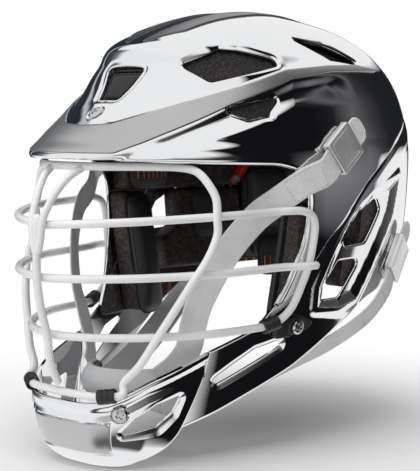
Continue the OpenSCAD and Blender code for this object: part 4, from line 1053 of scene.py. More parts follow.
def rear_piece():
    shifted = [[y + SEAM_GAP, z - SEAM_GAP] for y, z in SEAM]
    seam = side_line(REAR, shifted, 1.9)
    cheek = corner_line(REAR, [shifted[-1], [-40, 88], [-71.7, 74], [-73.7, 58], [-88, 21]])
    jaw = side_line(REAR, JAW_EDGE, 1.9)
    cheek[0], jaw[0] = seam[-1], cheek[-1]

    def seam_depth(chart):
        return 0.8 + 1.9 * fade(REAR.base(*REAR.to_angle(chart))[:, 1], 24, 150, 22)
    edges = [Edge(REAR, seam, False, BROW_LIP, 5.5, seam_depth), Edge(REAR, cheek, False, PLAIN_RIM),
             Edge(REAR, jaw, False, BROW_LIP, 2.6, 1.6)]
    edges += [Edge(REAR, side_hole(REAR, corners, r), True, CHAMFER, width, depth, hole=True)
              for corners, r, width, depth in (
                  (SLOT_UP, 4.0, 1.6, 0.55), (SLOT_LOW, 4.0, 1.6, 0.55), (JAW_HOLE, 2.5, 3.6, 1.5))]
    last = REAR.along[-1]

    def fine(p):
        return (p[:, 1] > 0) & (p[:, 1] < 104) & (p[:, 2] > 90) & (p[:, 2] < 210)
    return moulding(REAR, edges, np.vstack([seam, cheek[1:], jaw[1:]]),
                    np.array([[[last, jaw[-1, 1]], [last, seam[0, 1]]]]),
                    2.1, fine, 5.0, SHELL_WALL)


def guard_piece():
    low = side_line(GUARD, CHIN_LOW, 1.7)
    seam = corner_line(GUARD, [CHIN_LOW[-1], [-72, 74]])
    high = side_line(GUARD, CHIN_TOP, 1.7)[::-1]
    seam[0], high[0] = low[-1], seam[-1]
    edges = [Edge(GUARD, low, False, BROW_LIP, 2.0, 1.2), Edge(GUARD, seam, False, PLAIN_RIM),
             Edge(GUARD, high, False, BROW_LIP, 2.0, 1.3),
             Edge(GUARD, side_hole(GUARD, CHIN_HOLE, 1.5, 1.0), True, CHAMFER, facing(6.0, 1.6, (0.5, -1)),
                  facing(2.0, 0.7, (0.5, -1)), hole=True)]
    first = GUARD.along[0]

    def fine(p):
        return (p[:, 2] > 9) & (p[:, 2] < 52) & (sweep_of(p, CHIN_Y) < 50)
    guides = level_rows(GUARD, np.arange(-89.2, -28.0, 0.9),
                        lambda a, y=-140.0: np.interp(np.broadcast_to(y, a.shape), *CHIN_CREST),
                        (3.0, 3.8, 4.6, 5.4, 6.2, 7.4, 8.6, 9.6, 10.6, 11.6, 12.6, 13.6))
    return moulding(GUARD, edges, np.vstack([low, seam[1:], high[1:]]),
                    np.array([[[first, high[-1, 1]], [first, low[0, 1]]]]),
                    1.8, fine, 4.0, 3.5, guides=guides)


def plug_seat(floor=-3.2, under=-4.6):
    """Pocket behind the hole, whose walls rise to the shell's hole and whose floor carries the plug."""
    def top(q, less):
        return (CROWN.base(*CROWN.to_angle(pressed_hole(CROWN, q))) - PLUG_MID) @ PLUG_OUT - less
    inner, outer = (resample(plug_outline(r, 0.9), 0.9, True) for r in (PLUG_RIM, PLUG_RIM + 1.5))
    n = min(len(inner), len(outer))
    inner, outer = (resample(q, outline_length(q) / n, True)[:n] for q in (inner, outer))
    rings = [plug_place(*outer.T, under), plug_place(*outer.T, top(outer, 2.2)),
             plug_place(*inner.T, top(inner, 1.6)), plug_place(*inner.T, floor)]
    points = np.vstack(rings + [PLUG_MID + PLUG_OUT * floor, PLUG_MID + PLUG_OUT * under])
    faces = grid_faces(4, n, close_cols=True)
    faces += [(3 * n + i, 3 * n + (i + 1) % n, 4 * n) for i in range(n)]
    faces += [((i + 1) % n, i, 4 * n + 1) for i in range(n)]
    return points, outward_faces(points, faces)


def flat_corners(points, faces):
    return np.vstack([[unit(np.cross(points[f[1]] - points[f[0]], points[f[2]] - points[f[0]]))] * len(f)
                      for f in faces])


crown, normals = crown_piece()
seat = plug_seat()
piece("crown_shell_moulded", join([crown, seat]), CHROME, "crown_shell", "shell",
      normals=np.vstack([normals, flat_corners(*seat)]))
rear, normals = rear_piece()
piece("rear_shell_moulded", rear, CHROME, "rear_shell", "shell", normals=normals)
guard, normals = guard_piece()
piece("chin_guard_moulded", guard, CHROME, "chin_guard", "shell", normals=normals)


# ---------------------------------------------------------------- trims and plug
EASED = ((0, 0.0), (0, 0.3), (0, 0.62), (0.12, 0.82), (0.4, 0.95), (1.0, 1.0))
THIN = ((0, 0.0), (0, 0.55), (0.15, 0.85), (0.5, 0.98), (1.0, 1.0))


def round_corners(x, y, size_s, size_t, corner):
    """Points of the square from -1 to 1, moved so that its corners are rounded."""
    cx, cy = min(0.95, 2 * corner / size_s), min(0.95, 2 * corner / size_t)
    dx, dy = np.maximum(0, np.abs(x) - (1 - cx)) / cx, np.maximum(0, np.abs(y) - (1 - cy)) / cy
    h = np.hypot(dx, dy)
    k = np.where(h > 1e-9, np.maximum(dx, dy) / np.maximum(h, 1e-9), 1)
    return (np.sign(x) * (np.minimum(np.abs(x), 1 - cx) + dx * k * cx),
            np.sign(y) * (np.minimum(np.abs(y), 1 - cy) + dy * k * cy))


def slab(place, size_s, size_t, n, m, rim=2.0, corner=6.0, rows=EASED):
    """Closed slab over a unit square. place(s, t, q) gives its points, with q from 0 at the back to 1 at the face.

    rows are (share of the rim inwards, q) from the back edge to the face."""
    def steps(count, size):
        edge = np.array([r[0] * rim / size for r in rows])
        return np.concatenate([edge[:-1], np.linspace(edge[-1], 1 - edge[-1], count + 1), 1 - edge[:-1][::-1]])
    s, t = steps(n, size_s), steps(m, size_t)
    k_s, k_t = (np.minimum(np.arange(len(v)), np.arange(len(v))[::-1]) for v in (s, t))
    ring = np.minimum(np.minimum(k_s[:, None], k_t[None, :]), len(rows) - 1)
    q = np.array([r[1] for r in rows])[ring]
    ss, tt = np.meshgrid(s, t, indexing="ij")
    x, y = round_corners(2 * ss - 1, 2 * tt - 1, size_s, size_t, corner)
    s, t = ((x + 1) / 2).ravel(), ((y + 1) / 2).ravel()
    faces = grid_faces(*ss.shape)
    on_rim = np.zeros(ss.shape, bool)
    on_rim[[0, -1], :] = on_rim[:, [0, -1]] = True
    on_rim = on_rim.ravel()
    other = np.where(on_rim, np.arange(ss.size), ss.size + np.cumsum(~on_rim) - 1)
    faces += [tuple(int(other[i]) for i in reversed(f)) for f in faces]
    points = np.vstack([place(s, t, q.ravel()), place(s, t, np.zeros(ss.size))[~on_rim]])
    spots = np.stack([s * size_s, t * size_t], -1) * MM
    spots = np.vstack([spots, spots[~on_rim]])
    faces = outward_faces(points, faces)
    return points, faces, np.array([spots[i] for f in faces for i in f])


TRIM_TURN, PLUG_FACE = 118.0, 3.0


def trim_place(s, t, q):
    sweep = TRIM_TURN * (2 * s - 1)
    z = lookup(np.abs(sweep), TRIM_LOW) * (1 - t) + lookup(np.abs(sweep), TRIM_HIGH) * t
    p = skin(u_at(z), -90 + np.abs(sweep), TRIM_LIFT + TRIM_T * q)
    p[:, 0] *= np.sign(sweep + 1e-9)
    return p


def stripe_place(s, t, q):
    y = -76 + 166 * s
    x = lookup(s, [[0, 8], [0.3, 10], [1, 12]]) * (1 - t) + lookup(s, [[0, 9], [0.15, 24], [0.5, 25], [1, 14]]) * t
    lo, hi = np.full(len(s), BROW), np.full(len(s), BROW + RISE)
    for _ in range(26):
        mid = (lo + hi) / 2
        out = skin_x(y, mid) > x
        lo, hi = np.where(out, mid, lo), np.where(out, hi, mid)
    return np.stack([x, y, (lo + hi) / 2 + TRIM_LIFT + TRIM_T * q], -1)


def plate_place(s, t, q):
    a = -120 + 60 * s
    p = chin_skin(chin_u(12 + 20 * t), -90 + np.abs(a + 90), -1.5 + 1.1 * q)
    p[:, 0] *= np.sign(s - 0.5 + 1e-9)
    return p


def tube(rings, ends):
    """Closed solid from rings of points, with a fan round one point over each end."""
    rings = np.asarray(rings, float)
    n, m = rings.shape[:2]
    points = np.vstack([rings.reshape(-1, 3), ends])
    faces = grid_faces(n, m, close_cols=True)
    faces += [((i + 1) % m, i, n * m) for i in range(m)]
    faces += [((n - 1) * m + i, (n - 1) * m + (i + 1) % m, n * m + 1) for i in range(m)]
    return points, outward_faces(points, faces)


def plug_loft(levels, count=120, keep=2.2):
    """Closed loft of the plug's outline: levels are (shrink, out). Beyond keep, it shrinks toward its middle."""
    rings = []
    for shrink, out in levels:
        q = plug_outline(PLUG_FACE, 0.5)
        q = resample(q, outline_length(q) / count, True)[:count]
        d = unit(np.roll(q, -1, axis=0) - np.roll(q, 1, axis=0))
        q = q - np.stack([d[:, 1], -d[:, 0]], -1) * min(shrink, keep)
        q = q.mean(0) + (q - q.mean(0)) * (1 - max(shrink - keep, 0) / 13.0)
        rings.append(plug_place(q[:, 0], q[:, 1], out))
    return tube(rings, [rings[0].mean(0), rings[-1].mean(0)])


piece("visor_trim_band", slab(trim_place, 560, 12, 240, 10, 1.1, 2.0, THIN), SATIN, "visor_trim", "trim")
piece("top_stripe_pair", both(slab(stripe_place, 166, 12, 70, 8, 0.9, 1.5, THIN)), STRIPE, "top_stripes", "trim")
plug = plug_loft([(0, -2.9), (0, -0.6), (0.15, -0.2), (0.5, 0.0), (2.2, 0.0), (2.5, -0.25), (2.9, -0.25), (3.1, 0.1),
                  (3.3, 0.55), (3.6, 0.82), (4.2, 0.97), (6.5, 1.0)])
piece("front_plug_face", plug, GLOSS_BLACK, "front_plug", "plug", angle=50)
piece("chin_plate_bare", slab(plate_place, 60, 20, 40, 14, 0.8, 3.0, THIN), PLATE, "chin_plate", "plate")


# ---------------------------------------------------------------- screws
def euler(x=0, y=0, z=0):
    cx, sx, cy, sy, cz, sz = (f(math.radians(v)) for v in (x, y, z) for f in (math.cos, math.sin))
    rx = np.array([[1, 0, 0], [0, cx, -sx], [0, sx, cx]])
    ry = np.array([[cy, 0, sy], [0, 1, 0], [-sy, 0, cy]])
    rz = np.array([[cz, -sz, 0], [sz, cz, 0], [0, 0, 1]])
    return rz @ ry @ rx


def placed(part, rotation, at):
    p, f = part
    return p @ rotation.T + np.array(at, float), f


def pan_screw(shank, d=10.0, thin=4.0, height=2.2):
    """Pan head screw with a cross recess, its head's seat at z = 0."""
    n, r = 72, d / 2
    radii = np.concatenate([np.linspace(0, 0.68, 24)[1:], [0.76, 0.84, 0.9, 0.95, 0.98, 1.0]]) * r
    angle = 2 * np.pi * np.arange(n) / n
    points = [(0, 0, height - 1.0)]
    for q in radii:
        k = q / r
        z = height * (1 - 0.12 * k ** 2 - 0.36 * smooth((k - 0.68) / 0.32) ** 1.5)
        x, y = q * np.cos(angle), q * np.sin(angle)
        arm = np.minimum(np.maximum(np.abs(x) / 0.75, np.abs(y) / 2.5), np.maximum(np.abs(x) / 2.5, np.abs(y) / 0.75))
        points += list(np.stack([x, y, z - 1.05 * (1 - smooth((arm - 0.8) / 0.4))], -1))
    below = ((r, 0.35), (r - 0.15, 0.1), (r - 0.4, 0.0), (thin / 2, 0.0), (thin / 2, -shank + 0.4),
             (thin / 2 - 0.4, -shank))
    for q, z in below:
        points += [(q * math.cos(t), q * math.sin(t), z) for t in angle]
    points.append((0, 0, -shank))
    rings = len(radii) + len(below)
    faces = [(0, 1 + i, 1 + (i + 1) % n) for i in range(n)]
    faces += [tuple(reversed(f)) for f in grid_faces(rings, n, close_cols=True, base=1)]
    last = 1 + (rings - 1) * n
    faces += [(last + (i + 1) % n, last + i, len(points) - 1) for i in range(n)]
    points = np.array(points, float)
    return points, outward_faces(points, faces)


head, faces = placed(pan_screw(1.8), euler(x=40), SCREW_SPOT)
head = head + euler(x=40) @ np.array([0, 0, -0.7])
piece("visor_screw_head", (head, faces), SCREW, "visor_screw", "screws", angle=40)
turn = euler(z=-48) @ euler(y=90)
head = placed(pan_screw(8.0), turn @ euler(z=25), CHIN_SCREW_SPOT + turn @ np.array([0, 0, -0.9]))
piece("chin_screw_heads", both(head), SCREW, "chin_screws", "screws", angle=40)
turn = euler(z=-6) @ euler(y=98)
seat = np.array([float(skin_x(-13, 88)), -13, 88])
head = placed(pan_screw(7.2), turn @ euler(z=20), seat + turn @ np.array([0, 0, 3.3]))
piece("clip_screw_heads", both(head), SCREW, "clip_screws", "screws", angle=40)


# ---------------------------------------------------------------- cage
WIRE_D = 5.3
OUTER = WIRE_D + 0.15
HOOP_Z, MIDDLE_Z, LOW_Z, CHIN_WIRE_Z = 160.0, 126.0, 88.0, 50.6
CAGE_Y, CAGE_WIDE, CAGE_REACH = -10.0, 99.0, 147.0
VISOR_FRONT, CHIN_FRONT, CAGE_FRONT = -150.0, -147.0, -157.0


def cage_point(angle, z, off=0.0, grow=0.0):
    a = math.radians(angle)
    return [(CAGE_WIDE + off + grow) * math.cos(a), CAGE_Y + (CAGE_REACH + off + grow) * math.sin(a), z]


def beside_shell(y, z, more=0.0):
    return [float(skin_x(y, z)) + WIRE_D / 2 + 0.5 + more, y, z]


def wire(path, d=WIRE_D, n=22, closed=False):
    """Round wire along a path, with rounded ends."""
    p = np.asarray(path, float)
    r = d / 2
    if closed:
        q, radius = p, np.full(len(p), r)
        t = unit(np.roll(q, -1, axis=0) - np.roll(q, 1, axis=0))
    else:
        lengths = along(p)
        round_end = np.radians([12, 30, 50, 70, 90])
        cut = r * (1 - np.cos(round_end))
        inner = lengths[(lengths > r * 1.2) & (lengths < lengths[-1] - r * 1.2)]
        at = np.concatenate([cut, inner, lengths[-1] - cut[::-1]])
        radius = np.concatenate([r * np.sin(round_end), np.full(len(inner), r), r * np.sin(round_end[::-1])])
        q = at_lengths(at, lengths, p)
        t = unit(np.gradient(q, axis=0))
    m = len(q)
    x = np.cross(t[0], [0.31, 0.2, 0.93])
    sides = []
    for way in t:
        x = unit(x - way * (x @ way))
        sides.append(x)
    sides = np.array(sides)
    if closed:
        x = unit(sides[-1] - t[0] * (sides[-1] @ t[0]))
        twist = math.atan2(np.cross(x, sides[0]) @ t[0], x @ sides[0])
        ang = twist * np.arange(m) / m
        sides = sides * np.cos(ang)[:, None] + np.cross(t, sides) * np.sin(ang)[:, None]
    a = 2 * np.pi * np.arange(n) / n
    rings = q[:, None, :] + radius[:, None, None] * (np.cos(a)[None, :, None] * sides[:, None, :]
                                                     + np.sin(a)[None, :, None] * np.cross(t, sides)[:, None, :])
    if not closed:
        return tube(rings, [p[0], p[-1]])
    points = rings.reshape(-1, 3)
    return points, outward_faces(points, grid_faces(m, n, close_cols=True, close_rows=True))


def whole(half):
    """Closed path from the half of it on the wearer's left, both of whose ends lie on the centre plane."""
    return [list(q) for q in half] + [[-q[0], q[1], q[2]] for q in half[-2:0:-1]]


def cage_piece(name, part, stands_for):
    piece(name, part, COATING, stands_for, "cage")


half = [cage_point(a, HOOP_Z + 7 * (a + 90) / 75) for a in range(-90, -29, 10)]
half += [beside_shell(y, HOOP_Z + z, x) for y, z, x in [
    (-44, 6.5, -4.5), (-33, 7, -1.5), (-22, 6.5, 0), (-14, 3, 0), (-11, -3, 0), (-10.5, -11, 0)]]
half += [beside_shell(y, MIDDLE_Z + z) for y, z in [(-11, 12), (-12, 2), (-15, -9)]]
half += [beside_shell(y, LOW_Z + z, x) for y, z, x in [(-19, 17, 0), (-25, 10, 1.5), (-33, 5, 2.6), (-42, 2.5, 2.8)]]
half += [cage_point(a, LOW_Z + 2 * (a + 90) / 75, 0, -7 + 2 * (a + 30) / 60) for a in range(-30, -81, -10)]
half += [cage_point(-90, LOW_Z, 0, -9)]
cage_piece("cage_hoop", wire(closed_curve(whole(half), 6), closed=True), "cage_hoop_wire")

end = np.array(beside_shell(-11.5, MIDDLE_Z + 4, OUTER))
half = [cage_point(a, MIDDLE_Z + 3 * (a + 90) / 60) for a in range(-90, -26, 9)]
half += [[end[0] - 9, -36, MIDDLE_Z + 4], [end[0] - 0.5, -18, MIDDLE_Z + 4], list(end + [0, 3, 0])]
cage_piece("cage_middle", wire(curve([[-q[0], q[1], q[2]] for q in half[:0:-1]] + half, 8)), "cage_middle_wire")

half = [[x, VISOR_FRONT + y, BROW - z] for x, y, z in [
    (0, 13, 1), (24, 17, 1), (40, 27, 1), (54, 39, 1), (66, 50, 1.5), (75, 56, 4), (82, 59, 11), (87, 61.5, 21)]]
half += [cage_point(a, z, OUTER, grow) for a, z, grow in [
    (-31.5, 165, 0), (-31.5, 154, 0), (-34, 140, 0), (-38, MIDDLE_Z, 0), (-43, 108, -3), (-48, LOW_Z + 3, -7),
    (-54, 72, -11),
    (-60, 60, -15)]]
half += [[x, CHIN_FRONT + y, CHIN_WIRE_Z + z] for x, y, z in [(46, 14.8, 2), (34, 7.5, 0), (18, 4, 0), (0, 3, 0)]]
cage_piece("cage_perimeter", wire(closed_curve(whole(half), 6), closed=True), "cage_perimeter_wire")

centre = [[0, CHIN_FRONT + 2, CHIN_WIRE_Z + 4.5], [0, (CHIN_FRONT + CAGE_FRONT) / 2, 70]]
centre += [cage_point(-90, z, OUTER, grow) for z, grow in [
    (LOW_Z, -8), (106, -3), (MIDDLE_Z, 0), (HOOP_Z - 14, 0), (HOOP_Z, 0)]]
centre += [[0, CAGE_FRONT - 3.5, HOOP_Z + 7]]
fork = [[0.9, CAGE_FRONT - 5.4, HOOP_Z - 19], [3.6, CAGE_FRONT - 5.3, HOOP_Z - 9], [5.4, CAGE_FRONT - 4.4, HOOP_Z + 4],
        [8, CAGE_FRONT + 2, HOOP_Z + 18], [12, (CAGE_FRONT + VISOR_FRONT) / 2 + 7.5, BROW - 8],
        [15.5, VISOR_FRONT + 14.2, BROW - 1.6]]
cage_piece("cage_centre", join([wire(curve(centre, 8)), both(wire(curve(fork, 10), WIRE_D * 0.92))]),
           "cage_centre_wires")


# ---------------------------------------------------------------- clips
def sleeve(r_in, r_out, h, ribs=2):
    """Split sleeve round a wire: rounded rims, and grooves round its outside."""
    n, half = 64, h / 2
    inner = [(r_in, half - 0.5), (r_in + 0.15, half - 0.15), (r_in + 0.45, half)]
    outer = [(r_out - 0.4, half), (r_out - 0.1, half - 0.15), (r_out, half - 0.5)]
    profile = [(r, -z) for r, z in inner + outer]
    for k in range(ribs):
        z = -half + h * (k + 1) / (ribs + 1)
        profile += [(r_out, z - 0.7), (r_out - 0.35, z - 0.4), (r_out - 0.35, z + 0.4), (r_out, z + 0.7)]
    profile += outer[::-1] + inner[::-1]
    points = np.array([(r * math.cos(2 * math.pi * i / n), r * math.sin(2 * math.pi * i / n), z)
                       for r, z in profile for i in range(n)])
    return points, outward_faces(points, grid_faces(len(profile), n, close_cols=True, close_rows=True))


def rounded_box(lo, hi, r=1.0, edge=0.4, corner_steps=5):
    """Box with rounded upright corners of radius r and eased upper and lower edges."""
    lo, hi = np.array(lo, float), np.array(hi, float)
    mid = (lo + hi) / 2
    hx, hy = (hi[0] - lo[0]) / 2, (hi[1] - lo[1]) / 2
    edge = min(edge, (hi[2] - lo[2]) / 2.01)
    rings = []
    for shrink, z in ((edge, lo[2]), (edge * 0.3, lo[2] + edge * 0.3), (0, lo[2] + edge),
                      (0, hi[2] - edge), (edge * 0.3, hi[2] - edge * 0.3), (edge, hi[2])):
        rr = max(min(r, hx, hy) - shrink, 0.05)
        rings.append([])
        for k, (sx, sy) in enumerate(((1, 1), (-1, 1), (-1, -1), (1, -1))):
            for t in range(corner_steps + 1):
                a = math.radians(90 * k + 90 * t / corner_steps)
                rings[-1].append((mid[0] + sx * (hx - shrink - rr) + rr * math.cos(a),
                                  mid[1] + sy * (hy - shrink - rr) + rr * math.sin(a), z))
    return tube(rings, [[mid[0], mid[1], lo[2]], [mid[0], mid[1], hi[2]]])


CLIP_SLEEVE = sleeve(3.6, 4.84, 12)
CLIP_PLATE = np.array([[0, -29.5, 80, 92.5], [0.33, -20, 80.5, 94], [0.66, -12, 82, 94], [0.9, -4, 85, 92],
                       [1, 0, 87, 91]])


def clip_plate_place(s, t, q):
    y, low, high = (np.interp(s, CLIP_PLATE[:, 0], CLIP_PLATE[:, k]) for k in (1, 2, 3))
    z = low * (1 - t) + high * t
    loop = np.abs(np.hypot((s - 0.56) * 29, (t - 0.5) * 13) - 6.1)
    groove = 0.6 * (1 - smooth((loop - 0.35) / 0.5)) * (q > 0.9)
    return np.stack([skin_x(y, z) + 0.3 + 2.6 * q - groove, y, z], -1)


front_clip = placed(CLIP_SLEEVE, euler(z=32) @ euler(y=83), [37.5, CHIN_FRONT + 9.7, CHIN_WIRE_Z + 0.5])
pair("front_clip_wrap_{}", front_clip, CLIP, "front_clip_{}", "clips", angle=35)
clip_plate = slab(clip_plate_place, 29.5, 12.5, 44, 24, 1.2, 3.5)
rear_clip = join([placed(CLIP_SLEEVE, euler(z=70) @ euler(y=74), beside_shell(-37.8, LOW_Z + 3.7, 2.7)),
                  clip_plate[:2]])
pair("rear_clip_wrap_{}", rear_clip, CLIP, "rear_clip_{}", "clips", angle=35)


# ---------------------------------------------------------------- bead foam
def to_left(a):
    """Angles folded onto the wearer's left, and the side that each was on."""
    return np.where(a > 90, 180 - a, np.where(a < -90, -180 - a, a)), np.where(np.abs(a) > 90, -1.0, 1.0)


def liner_place(z0, z1, a0, a1, off=0.0):
    def place(s, t, q):
        u = u_at(z0) + (u_at(z1) - u_at(z0)) * t
        lean, side = to_left(a0 + (a1 - a0) * s)
        back, face = liner_back(u, lean, off), cavity(u, lean)
        flat = back - PLUG_MID
        x, y, out = side * back[:, 0], flat @ PLUG_UP, flat @ PLUG_OUT
        near = (np.abs(x) < 30) & (np.abs(y) < 26) & (back[:, 1] < 0)
        d = np.full(len(back), 9.0)
        if near.any():
            d[near] = distance_to(plug_outline(PLUG_RIM + 1.8, 2.0), np.stack([x, y], -1)[near])
        sink = np.maximum(0, out + 5.6) * (1 - smooth((d - 1.0) / 3.0))
        back = back - np.outer(sink, PLUG_OUT)
        p = back + (face - back) * q[:, None]
        p[:, 0] *= side
        return p
    return place


def block_place(front, y1, z0, z1):
    def place(s, t, q):
        z = z0 + (z1 - z0) * t
        y0 = lookup(z, front)
        y = y0 + (y1 - y0) * s
        xb, xf = skin_x(y, z, -SHELL_WALL - SOFT_GAP - SHELL_STEP), cavity_x(y, z)
        return np.stack([xb + (xf - xb) * q, y, z], -1)
    return place


FOAM_ROWS = ((0, 0.0), (0, 0.45), (0, 0.8), (0.15, 0.9), (0.45, 0.975), (1.0, 1.0))
CROWN_FOAM = (BROW + 2, BROW + 0.955 * RISE)
# The crown liner's foam takes the darker copy of the bead foam: painted shade.
for name, place, sizes, look in (
        ("front", liner_place(*CROWN_FOAM, -178, -2), (300, 150, 70, 40), FOAM_SHADED),
        ("rear", liner_place(*CROWN_FOAM, 2, 178, SHELL_STEP), (300, 150, 70, 40), FOAM_SHADED),
        ("nape", liner_place(114, BROW - 1, 42, 138, SHELL_STEP), (190, 83, 50, 24), FOAM)):
    piece(f"{name}_foam", slab(place, *sizes, 3.0, 8.0, FOAM_ROWS), look, f"{name}_liner", "foam")
for name, place, sizes in (
        ("side", block_place([[172, -8], [BROW, -8]], 104, 172, BROW - 1), (112, 25, 36, 10)),
        ("ear", block_place([[110, 31], [134, 31], [142, 47], [170, 47]], 104, 110, 170), (66, 60, 24, 20)),
        ("jaw", block_place([[82, -12], [170, -12]], 14, 82, 170), (26, 88, 10, 28))):
    pair(name + "_foam_{}", slab(place, *sizes, 2.5, 4.0, FOAM_ROWS), FOAM, name + "_liner_{}", "foam")


# ---------------------------------------------------------------- comfort pads
PAD_ROWS = ((0, 0.0), (0, 0.22), (-0.12, 0.4), (-0.16, 0.52), (-0.05, 0.64), (0.16, 0.8), (0.5, 0.93), (1.0, 1.0))


def swell(s, t):
    """Share of a pad's full thickness: most in its middle."""
    return 0.56 + 0.44 * (1 - np.abs(2 * s - 1) ** 3) * (1 - np.abs(2 * t - 1) ** 3)


def pad_place(z0, z1, a0, a1, thick, more=0.0):
    am, zm = (a0 + a1) / 2, (z0 + z1) / 2

    def place(s, t, q):
        k = 1 - 0.07 * q
        a = am + (a0 + (a1 - a0) * s - am) * k
        z = zm + (z0 + (z1 - z0) * t - zm) * k
        lean, side = to_left(a)
        p = cavity(u_at(z), lean)
        w = cavity(u_at(z), lean, -1.0) - p
        p = p + w * (SOFT_GAP + more + (thick * swell(s, t) - more) * q)[:, None]
        p[:, 0] *= side
        return p
    return place


def cheek_place(y0, y1, z0, z1, thick):
    ym, zm = (y0 + y1) / 2, (z0 + z1) / 2

    def place(s, t, q):
        k = 1 - 0.07 * q
        y, z = y0 + (y1 - y0) * s, z0 + (z1 - z0) * t
        return np.stack([cavity_x(y, z) - SOFT_GAP - thick * swell(s, t) * q, ym + (y - ym) * k, zm + (z - zm) * k], -1)
    return place


def piping(place, size_s, size_t, corner, d=1.7, q=0.5, inset=0.2):
    """Sewn piping round a pad, at a height q of its side."""
    t = np.linspace(0, 1, 40, endpoint=False)
    x = np.concatenate([2 * t - 1, np.ones(40), 1 - 2 * t, -np.ones(40)])
    y = np.concatenate([-np.ones(40), 2 * t - 1, np.ones(40), 1 - 2 * t])
    x, y = round_corners(x, y, size_s, size_t, corner)
    s, t = 0.5 + x / 2 * (1 - 2 * inset / size_s), 0.5 + y / 2 * (1 - 2 * inset / size_t)
    return wire(resample(place(s, t, np.full(len(s), q)), 2.0, True), d, 8, closed=True)


def sewn_pad(place, size_s, size_t, n, m, corner=7.0):
    """A pad with piping, whose flat map lies beside the pad's."""
    edge = piping(place, size_s, size_t, corner)
    beside = np.full((sum(len(f) for f in edge[1]), 2), -0.02)
    return join([slab(place, size_s, size_t, n, m, 4.0, corner, PAD_ROWS), (*edge, beside)])


for name, part, look, node_name in (
        ("brow_cushion", sewn_pad(pad_place(206, 236, -128, -52, 9, 0.4), 130, 31, 44, 14), PAD_LINED, "brow_pad"),
        ("crown_cushion_front", sewn_pad(pad_place(BROW + 58, BROW + 90, -122, -58, 9, 0.6), 85, 60, 30, 22), PAD,
         "crown_pad_front"),
        ("crown_cushion_rear", sewn_pad(pad_place(BROW + 58, BROW + 92, 55, 125, 9), 90, 60, 30, 22), PAD,
         "crown_pad_rear"),
        ("nape_cushion", sewn_pad(pad_place(100, 130, 44, 136, 9), 165, 30, 50, 14), PAD_LINED, "nape_pad")):
    piece(name, part, look, node_name, "pads")
for name, part, look, slot, body in (
        ("temple", sewn_pad(cheek_place(-6, 34, 174, 195, 9), 40, 21, 18, 12), PAD_SIDE, "pads", "helmet"),
        ("cheek", sewn_pad(cheek_place(-12, 14, 80, 169, 11), 26, 89, 14, 40, 9.0), MOULDED, "pads", "helmet"),
        ("ear", sewn_pad(cheek_place(60, 92, 132, 168, 8), 32, 36, 16, 18), PAD, "pads", "helmet"),
        ("fit", sewn_pad(pad_place(138, 184, 40, 58, 9), 32, 46, 16, 22), FIT, "fit_pads", "fit_pad_{}")):
    for obj in pair(name + "_cushion_{}", part, look, name + "_pad_{}", slot, body):
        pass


# ---------------------------------------------------------------- lever, studs and pins
def lever_part(r=4.0, reach=22.0, hole_r=2.06):
    """Flat lever with a round end at its pin and at its tip, where it is thicker."""
    a = np.pi * np.arange(48) / 47 + np.pi / 2
    outline = np.vstack([np.stack([r * np.cos(a), r * np.sin(a)], -1),
                         np.stack([reach + r * np.cos(a - np.pi), r * np.sin(a - np.pi)], -1)])
    outline = resample(outline, 0.7, True)
    d = unit(np.roll(outline, -1, axis=0) - np.roll(outline, 1, axis=0))
    out = np.stack([d[:, 1], -d[:, 0]], -1)
    hole = hole_r * unit(outline - np.array([0.001, 0]))
    rings = []
    sides = [(outline - out * inset, z) for inset, z in (
        (0.4, 0.0), (0.1, 0.12), (0.0, 0.45), (0.0, 2.4), (0.15, 2.75), (0.5, 2.95), (1.2, 3.0))]
    for xy, z in [(hole, 0.1), *sides, (hole * 1.1, 3.0), (hole, 2.9)]:
        tip = 2.0 * smooth((xy[:, 0] - 17.5) / 2.5)
        rings.append(np.stack([xy[:, 0], xy[:, 1], np.where(z > 1.6, z + tip, z)], -1))
    points = np.vstack(rings)
    points[:, 2] += 2.0
    at = cavity(u_at(np.array([176.0])), np.array([33.0]))[0]
    points = points @ euler(z=35).T @ (euler(z=26) @ euler(y=-90)).T + at
    return points, outward_faces(points, grid_faces(len(rings), len(outline), close_cols=True, close_rows=True))


pair("fit_lever_red_{}", lever_part(), LEVER, "fit_lever_{}", "lever", "fit_lever_{}", angle=40)
for name in ("upper_studs", "lower_studs", "fit_pivots"):
    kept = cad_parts[name]
    kept.data.materials.clear()
    kept.data.materials.append(SCREW)


# ---------------------------------------------------------------- buckles and webbing
STRAP_W, STRAP_T, BUCKLE_L, BUCKLE_W = 19.0, 1.5, 28.0, 24.6
STRAP_LIFT = 0.6 + 1.4 + 0.4 + STRAP_T / 2
BAR_Z = STRAP_LIFT + STRAP_T / 2 + 0.4 + 1.2


def side_turn(yaw, tilt, turn):
    return euler(z=yaw) @ euler(y=-tilt) @ euler(x=turn) @ euler(x=90, z=90)


def buckle_part():
    """Slotted base plate, two side walls, and a bar frame over the webbing."""
    hx, hy = BUCKLE_L / 2, BUCKLE_W / 2
    boxes = [((-hx, 3.0, 0.6), (hx, hy, 2.0), 2.6, 0.35), ((-hx, -hy, 0.6), (hx, -3.0, 2.0), 2.6, 0.35),
             ((2.9, -5.5, 0.62), (hx, 5.5, 1.98), 1.0, 0.3), ((-hx, -5.5, 0.62), (-10.9, 5.5, 1.98), 1.0, 0.3)]
    boxes += [((-hx, y, 1.4), (hx, y + 2.4, BAR_Z + 0.9), 1.1, 0.6) for y in (-hy, hy - 2.4)]
    boxes += [((-hx + 0.6, -hy + 0.3, BAR_Z - 0.95), (hx - 0.6, hy - 0.3, BAR_Z + 0.85), 3.0, 0.7),
              ((-hx + 2.6, -hy + 2.4, BAR_Z + 0.5), (hx - 2.6, hy - 2.4, BAR_Z + 1.2), 2.4, 0.45)]
    boxes += [((x - 1.1, -hy + 0.1, BAR_Z - 1.0), (x + 1.1, hy - 0.1, BAR_Z + 1.1), 1.0, 0.9)
              for x in (1.2 - hx, hx - 1.2)]
    return join([rounded_box(*box) for box in boxes])


